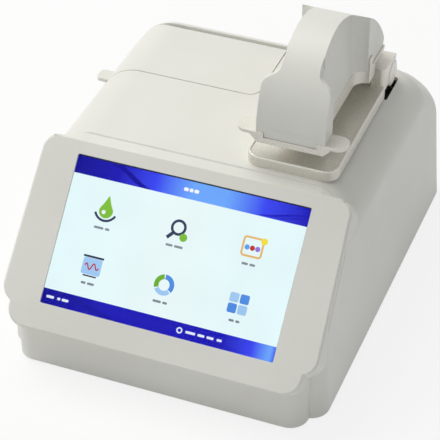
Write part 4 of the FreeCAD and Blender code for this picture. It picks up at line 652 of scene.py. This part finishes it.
class SPECTRO_OT_mouldings(bpy.types.Operator):
    """Finish the white mouldings, the tray under the lid and the black plastics"""

    bl_idname = "spectro.mouldings"
    bl_label = "Mouldings"

    def execute(self, context):
        made = settings().finish
        white = moulded("housing_white", made.housing, made.housing_shade, 0.42, made.grain, 0.00002, 0.0004)
        for name in ("main_cover", "front_bezel", "cuvette_lid", "arm_hood", "cuvette_bay"):
            finish_node(name, white)
        cover = reshaped("cover_shell", "main_cover", self.rear_fall)
        cover.data.materials.append(white)
        black = moulded("black_moulding", (0.035, 0.035, 0.038), (0.025, 0.025, 0.027), 0.45, 0.0009, 0.00003)
        for name in ("power_inlet", "switch_frame", "power_rocker", "motor_seat", "receive_fibre",
                     "lamp_fibre"):
            finish_node(name, black)
        finish_node("rubber_feet", moulded("foot_rubber", (0.03, 0.03, 0.03), (0.02, 0.02, 0.02), 0.8,
                                           0.0005, 0.00004))
        return {"FINISHED"}

    def rear_fall(self, points):
        """Forward move of the cover's rear, and its slopes: two products of smooth steps.

        One runs along the depth and up the height and lets the top fall away behind the lid. The
        other runs outwards, along the depth and up the height and rounds the rear corners.
        """
        made = settings().finish
        x, y, z = points.T
        deep, deep_slope = smooth_step(y, made.fall_start, made.fall_end)
        high, high_slope = smooth_step(z, made.fall_low, made.fall_high)
        wide, wide_slope = smooth_step(np.abs(x), made.corner_from, made.corner_to)
        back, back_slope = smooth_step(y, made.corner_start, made.corner_end)
        tall, tall_slope = smooth_step(z, made.corner_low, made.corner_high)
        move = made.fall * deep * high + made.corner * wide * back * tall
        slopes = np.stack([
            made.corner * wide_slope * np.sign(x) * back * tall,
            made.fall * deep_slope * high + made.corner * wide * back_slope * tall,
            made.fall * deep * high_slope + made.corner * wide * back * tall_slope], -1)
        return move, slopes


class SPECTRO_OT_metalwork(bpy.types.Operator):
    """Finish the deck, the arm, the hinge, the screws and the inner blocks"""

    bl_idname = "spectro.metalwork"
    bl_label = "Metalwork"

    def execute(self, context):
        made = settings().finish
        paint = metallic_paint("deck_paint", made.deck, 0.0004)
        for name in ("sample_deck", "arm_frame", "hinge_caps"):
            finish_node(name, paint)
        steel = brushed_metal("machined_steel", (0.62, 0.62, 0.63), 0.28)
        for name in ("lower_pedestal", "upper_pedestal", "hinge_shaft", "lid_hinge_pins", "base_screws",
                     "panel_screws"):
            finish_node(name, steel)
        bronze = brushed_metal("sintered_bronze", (0.55, 0.36, 0.17), 0.42, (1.0, 1.0, 1.0))
        for name in ("hinge_bushes", "pedestal_guide"):
            finish_node(name, bronze)
        sheet = brushed_metal("rolled_sheet", (0.55, 0.55, 0.56), 0.36, (14.0, 1.0, 1.0))
        for name in ("display_bracket", "path_motor", "data_sockets"):
            finish_node(name, sheet)
        anodised = moulded("black_anodising", (0.045, 0.045, 0.05), (0.03, 0.03, 0.034), 0.5, 0.0006, 0.00001)
        for name in ("spectrometer_housing", "flash_lamp", "cuvette_block"):
            finish_node(name, anodised)
        powder = moulded("grey_powder_coat", (0.36, 0.36, 0.35), (0.32, 0.32, 0.31), 0.5, 0.0011, 0.00004)
        for name in ("base_plate", "rear_panel"):
            finish_node(name, powder)
        board = circuit_board("solder_mask")
        for name in ("main_board", "power_board"):
            finish_node(name, board)
        return {"FINISHED"}


def screen_light(name, colours, tilt, centre, glow, across=True, drift=0.03):
    """Lit picture element: a ramp of colours along or up the picture, with a slow drift of tone.

    colours are (place, colour) with places in metres from the picture's middle.
    """
    made, tree, shader = material(name)
    coordinates = tree.nodes.new("ShaderNodeTexCoord")
    turned = tree.nodes.new("ShaderNodeMapping")
    turned.vector_type = "TEXTURE"
    turned.inputs["Location"].default_value = centre
    turned.inputs["Rotation"].default_value = (tilt, 0.0, 0.0)
    split = tree.nodes.new("ShaderNodeSeparateXYZ")
    tree.links.new(coordinates.outputs["Object"], turned.inputs["Vector"])
    tree.links.new(turned.outputs["Vector"], split.inputs["Vector"])
    first, last = colours[0][0], colours[-1][0]
    spread = add(tree, "ShaderNodeMapRange")
    spread.inputs["From Min"].default_value = first
    spread.inputs["From Max"].default_value = last
    tree.links.new(split.outputs["X" if across else "Y"], spread.inputs["Value"])
    stops = [((place - first) / (last - first), colour) for place, colour in colours]
    colour = ramp(tree, spread.outputs["Result"], stops)
    cloud = noise(tree, 38.0, 1.0)
    shade = add(tree, "ShaderNodeMixRGB")
    shade.blend_type = "MULTIPLY"
    shade.inputs["Fac"].default_value = 1.0
    grey = ramp(tree, cloud, [(0.3, (1.0 - drift,) * 3), (0.7, (1.0, 1.0, 1.0))])
    tree.links.new(colour, shade.inputs["Color1"])
    tree.links.new(grey, shade.inputs["Color2"])
    tree.links.new(shade.outputs["Color"], shader.inputs["Emission Color"])
    shader.inputs["Emission Strength"].default_value = glow
    shader.inputs["Base Color"].default_value = (0.004, 0.004, 0.005, 1.0)
    shader.inputs["Roughness"].default_value = 0.8
    shader.inputs["Specular IOR Level"].default_value = 0.0
    return made


class SPECTRO_OT_display(bpy.types.Operator):
    """Put the cover glass and the picture behind it in place"""

    bl_idname = "spectro.display"
    bl_label = "Display"

    def execute(self, context):
        made = settings().display
        finish_node("lcd_panel", moulded("display_frame", (0.012, 0.012, 0.014), (0.009, 0.009, 0.01), 0.4,
                                         0.004, 0.000004))
        self.back = -made.glass_thickness / 2
        glass = card(0.0, 0.0, made.width + 2 * made.glass_margin, made.height + 2 * made.glass_margin,
                     made.glass_corner)
        front = made.glass_thickness / 2
        pane = piece("cover_glass", [slab(glass, self.back + 2 * made.layer, front, 0, 0.0015)],
                     [self.glass()], "base", on_display)
        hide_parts("display_glass")
        self.picture(made)
        return {"FINISHED"}

    def glass(self):
        """Clear glass that bends light little, with a trace of unevenness in its gloss."""
        made, tree, shader = material("cover_glass")
        shader.inputs["Transmission Weight"].default_value = 1.0
        shader.inputs["IOR"].default_value = 1.08
        haze = noise(tree, 60.0, 2.0)
        tree.links.new(level(tree, haze, 0.0, 0.03), shader.inputs["Roughness"])
        return made

    def light(self, name, colours, across=True):
        """Lit material on the display, placed from the cover glass's middle."""
        made = settings().display
        return screen_light(name, colours, made.tilt, middle_of("display_glass"), made.glow, across)

    def plain(self, name, low, high):
        """Element of one hue, from a lower to an upper tone along the picture's height."""
        half = settings().display.height / 2
        return self.light(name, [(-half, low), (half, high)], False)

    def picture(self, made):
        """Field, two bars with a brighter stretch and swept shades, and plain signs in two rows."""
        half_w, half_h = made.width / 2, made.height / 2
        left, right = -half_w - made.mask, half_w - made.mask
        foot, top = -half_h - made.mask, half_h - made.mask
        base = self.back
        step = made.layer / 4
        field = self.light("screen_field", [(left, made.field), (0.0, made.field_warm), (right, made.field)])
        forms = [slab(card((left + right) / 2, (foot + top) / 2, right - left, top - foot, 0.0004), base,
                      base + step)]
        piece("screen_field", forms, [field], "base", on_display)
        title = self.light("screen_title", [
            (-half_w, made.deep_blue), (-0.62 * half_w, made.blue_dark), (-0.30 * half_w, made.blue),
            (0.02 * half_w, made.sky_blue), (0.30 * half_w, made.sky_blue), (0.62 * half_w, made.blue),
            (half_w, made.blue_dark)])
        status = self.light("screen_status", [
            (-half_w, made.deep_blue), (-0.45 * half_w, made.blue_dark), (0.55 * half_w, made.blue_dark),
            (0.80 * half_w, made.blue), (0.95 * half_w, made.sky_blue), (half_w, made.blue)])
        shade = self.light("screen_sweep", [(-half_w, made.deep_blue), (half_w, made.blue_dark)])
        bars = [slab(card((left + right) / 2, top - made.title_height / 2, right - left,
                          made.title_height, 0.0002), base + step, base + 2 * step, 0),
                slab(card((left + right) / 2, foot + (made.status_height + made.mask) / 2, right - left,
                          made.status_height + made.mask, 0.0002), base + step, base + 2 * step, 1)]
        bars += self.sweeps(made, left, right, foot, top, base + 2 * step, base + 2.5 * step)
        piece("screen_bars", bars, [title, status, shade], "base", on_display)
        self.signs(made, base + step, base + 2 * step, base + 3 * step)

    def sweeps(self, made, left, right, foot, top, low, high):
        """Darker swept bands across the bars: a run whose height is a smooth step between two levels.

        A band has its start and end as shares of the picture's width, two levels as shares of the
        bar's height above the bar's foot, and a width that tapers with the root of a half sine.
        """
        share = np.linspace(0.0, 1.0, 30)
        ease = share ** 2 * (3 - 2 * share)
        taper = np.sin(math.pi * np.clip(share, 0.02, 0.98)) ** 0.5
        title = ((0.16, 0.33, 0.96, 0.04, 0.0030), (0.80, 1.0, 0.08, 0.55, 0.0011),
                 (0.86, 1.0, 0.10, 0.38, 0.0007))
        status = ((0.06, 0.36, 0.92, 0.10, 0.0022), (0.50, 0.86, 0.88, 0.20, 0.0009))
        bands = []
        for bar_foot, tall, runs in ((top - made.title_height, made.title_height, title),
                                     (foot, made.status_height, status)):
            for start, end, level_from, level_to, width in runs:
                x = left + (start + (end - start) * share) * (right - left)
                y = bar_foot + tall * (level_from + (level_to - level_from) * ease)
                edge = np.minimum(width * taper, 2 * np.minimum(bar_foot + tall - y, y - bar_foot))
                bands.append(ribbon(np.stack([x, y], -1), np.maximum(edge, 0.0001), low, high, 2))
        return bands

    def signs(self, made, low, mid, high):
        """Six plain signs with a short grey bar under each, and white marks in the two bars."""
        tones = [self.plain("sign_green", (0.10, 0.36, 0.02), (0.28, 0.62, 0.06)),
                 self.plain("sign_ink", (0.02, 0.03, 0.07), (0.05, 0.07, 0.14)),
                 self.plain("sign_blue", (0.05, 0.20, 0.72), (0.16, 0.44, 0.90)),
                 self.plain("sign_pale", (0.30, 0.55, 0.90), (0.50, 0.72, 0.96)),
                 self.plain("sign_red", (0.45, 0.02, 0.03), (0.62, 0.04, 0.04)),
                 self.plain("sign_violet", (0.22, 0.12, 0.62), (0.34, 0.22, 0.78)),
                 self.plain("sign_amber", (0.72, 0.38, 0.10), (0.86, 0.55, 0.20)),
                 self.plain("sign_yellow", (0.85, 0.66, 0.02), (0.95, 0.80, 0.06)),
                 self.plain("sign_grey", (0.20, 0.24, 0.28), (0.30, 0.34, 0.38)),
                 self.plain("sign_white", (0.80, 0.86, 0.98), (0.92, 0.95, 1.0))]
        green, ink, blue, pale, red, violet, amber, yellow, grey, white = range(len(tones))
        pitch_x, pitch_y = made.sign_pitch, made.sign_row
        x0, x1, x2 = made.sign_aside - pitch_x, made.sign_aside, made.sign_aside + pitch_x
        y0, y1 = pitch_y / 2 + made.sign_lift, -pitch_y / 2 + made.sign_lift
        u = made.sign_size / 14.0
        forms = []
        # a drop on a dark dish
        forms += [slab(drop(x0, y0 + 0.4 * u, 4.6 * u, 9.4 * u), low, mid, green),
                  slab(disc(x0 - 1.4 * u, y0 - 0.6 * u, 1.3 * u), mid, high, white),
                  ribbon(sector(x0, y0 + 1.6 * u, 7.4 * u, 205, 335), 1.5 * u, low, mid, ink)]
        # a dark lens with its handle over a green disc
        handle = np.linspace((x1 - 2.2 * u, y0 - 2.2 * u), (x1 - 6.0 * u, y0 - 6.4 * u), 6)
        forms += [ribbon(disc(x1, y0 + 1.0 * u, 4.2 * u), 1.7 * u, low, mid, ink, True),
                  ribbon(handle, 2.2 * u, low, mid, ink),
                  slab(disc(x1 + 4.4 * u, y0 - 4.4 * u, 2.5 * u), mid, high, green)]
        # an amber frame with three dots and a yellow one at its corner
        amber_box = card(x2, y0, 12.4 * u, 11.4 * u, 1.6 * u, 8)
        forms += [ribbon(amber_box, 1.3 * u, low, mid, amber, True),
                  slab(disc(x2 - 3.4 * u, y0 - 0.6 * u, 1.6 * u), low, mid, blue),
                  slab(disc(x2, y0 - 0.6 * u, 1.6 * u), low, mid, red),
                  slab(disc(x2 + 3.4 * u, y0 - 0.6 * u, 1.6 * u), low, mid, violet),
                  slab(disc(x2 + 6.4 * u, y0 + 4.8 * u, 2.1 * u), mid, high, yellow)]
        # a pale card with one red wave between two dark lines
        wave_x = np.linspace(-4.6, 4.6, 40)
        wave = np.stack([x0 + wave_x * u, y1 + (1.9 * np.sin(wave_x * 1.3) + 0.1 * wave_x) * u], -1)
        forms += [slab(card(x0, y1, 12.6 * u, 10.4 * u, 1.2 * u), low, mid, pale),
                  ribbon(wave, 0.8 * u, mid, high, red),
                  slab(card(x0, y1 + 6.0 * u, 13.6 * u, 1.3 * u, 0.5 * u), mid, high, ink),
                  slab(card(x0, y1 - 6.0 * u, 9.0 * u, 0.9 * u, 0.4 * u), mid, high, ink)]
        # a ring in three lengths
        forms += [ribbon(sector(x1, y1, 5.0 * u, 100, 205), 3.0 * u, low, mid, green),
                  ribbon(sector(x1, y1, 5.0 * u, 212, 318), 3.0 * u, low, mid, pale),
                  ribbon(sector(x1, y1, 5.0 * u, 325, 453), 3.0 * u, low, mid, blue)]
        # four tiles
        for sign_x in (-1, 1):
            for sign_y in (-1, 1):
                tone = blue if sign_x * sign_y > 0 else pale
                tile = card(x2 + sign_x * 3.3 * u, y1 + sign_y * 3.3 * u, 5.8 * u, 5.8 * u, 1.1 * u)
                forms.append(slab(tile, low, mid, tone))
        # short bars under the signs
        for x, y, long, short in ((x0, y0, 6.4, 3.0), (x1, y0, 4.6, 5.6), (x2, y0, 4.0, 3.6),
                                  (x0, y1, 3.2, 4.6), (x1, y1, 5.4, 3.0), (x2, y1, 3.4, 2.6)):
            spread = (long + short + 1.0) / 2
            forms += [slab(card(x + (long / 2 - spread) * u, y - 10.6 * u, long * u, 1.5 * u, 0.6 * u),
                           low, mid, grey),
                      slab(card(x + (spread - short / 2) * u, y - 10.6 * u, short * u, 1.5 * u, 0.6 * u),
                           low, mid, grey)]
        # marks in the bars
        half_w, half_h = made.width / 2, made.height / 2
        bar_y = half_h - made.mask - made.title_height / 2
        for x, long in ((-3.4, 3.0), (0.0, 2.4), (3.4, 3.0)):
            forms.append(slab(card(x * u, bar_y, long * u, 2.2 * u, 0.7 * u), mid, high, white))
        foot_y = -half_h + made.status_height / 2
        for x, long in ((-70.5, 5.0), (-64.8, 2.0), (-60.6, 4.4)):
            forms.append(slab(card(x * MM, foot_y, long * MM, 1.6 * MM, 0.6 * MM), mid, high, white))
        clock_x = 0.19 * half_w
        forms.append(ribbon(disc(clock_x, foot_y, 1.5 * MM), 0.8 * MM, mid, high, white, True))
        for x, long in ((7.0, 6.2), (13.8, 4.4), (19.6, 4.4), (25.4, 3.2)):
            mark = card(clock_x + x * MM, foot_y, long * MM, 1.5 * MM, 0.6 * MM)
            forms.append(slab(mark, mid, high, white))
        piece("screen_signs", forms, tones, "base", on_display)


class SPECTRO_OT_rear(bpy.types.Operator):
    """Mark the two ends of the power rocker"""

    bl_idname = "spectro.rear"
    bl_label = "Rocker marks"

    def execute(self, context):
        made = settings().rear
        low, high, half = -2 * made.mark_rise, made.mark_rise, made.mark_height / 2
        line = slab(card(0.0, 0.0, made.mark_stroke, made.mark_height, made.mark_stroke / 4), low, high)
        ring = ribbon(disc(0.0, 0.0, half - made.mark_stroke / 2), made.mark_stroke, low, high, 0, True)
        forms = [(on_face(line[0], made.upper, made.upper_lean), *line[1:]),
                 (on_face(ring[0], made.lower, made.lower_lean), *ring[1:])]
        white = moulded("mark_white", (0.80, 0.80, 0.78), (0.74, 0.74, 0.72), 0.5, 0.0004, 0.000004)
        piece("rocker_marks", forms, [white], "rocker", lambda grid: grid)
        return {"FINISHED"}


class SPECTRO_PT_panel(bpy.types.Panel):
    """Buttons for each piece, in the order in which they are made"""

    bl_idname = "SPECTRO_PT_panel"
    bl_label = "Spectrophotometer"
    bl_space_type = "VIEW_3D"
    bl_region_type = "UI"
    bl_category = "Instrument"

    def draw(self, context):
        for step in STEPS:
            self.layout.operator("spectro." + step)


STEPS = ("stage", "mouldings", "metalwork", "display", "rear")
CLASSES = (StageSettings, FinishSettings, DisplaySettings, RearSettings, SpectroSettings, SPECTRO_OT_stage,
           SPECTRO_OT_mouldings, SPECTRO_OT_metalwork, SPECTRO_OT_display, SPECTRO_OT_rear, SPECTRO_PT_panel)


def register():
    for item in CLASSES:
        bpy.utils.register_class(item)
    bpy.types.Scene.spectro_finish = bpy.props.PointerProperty(type=SpectroSettings)


def unregister():
    del bpy.types.Scene.spectro_finish
    for item in reversed(CLASSES):
        bpy.utils.unregister_class(item)


def main():
    """Registers the add-on and makes every piece."""
    register()
    for step in STEPS:
        getattr(bpy.ops.spectro, step)()


if __name__ == "__main__":
    main()
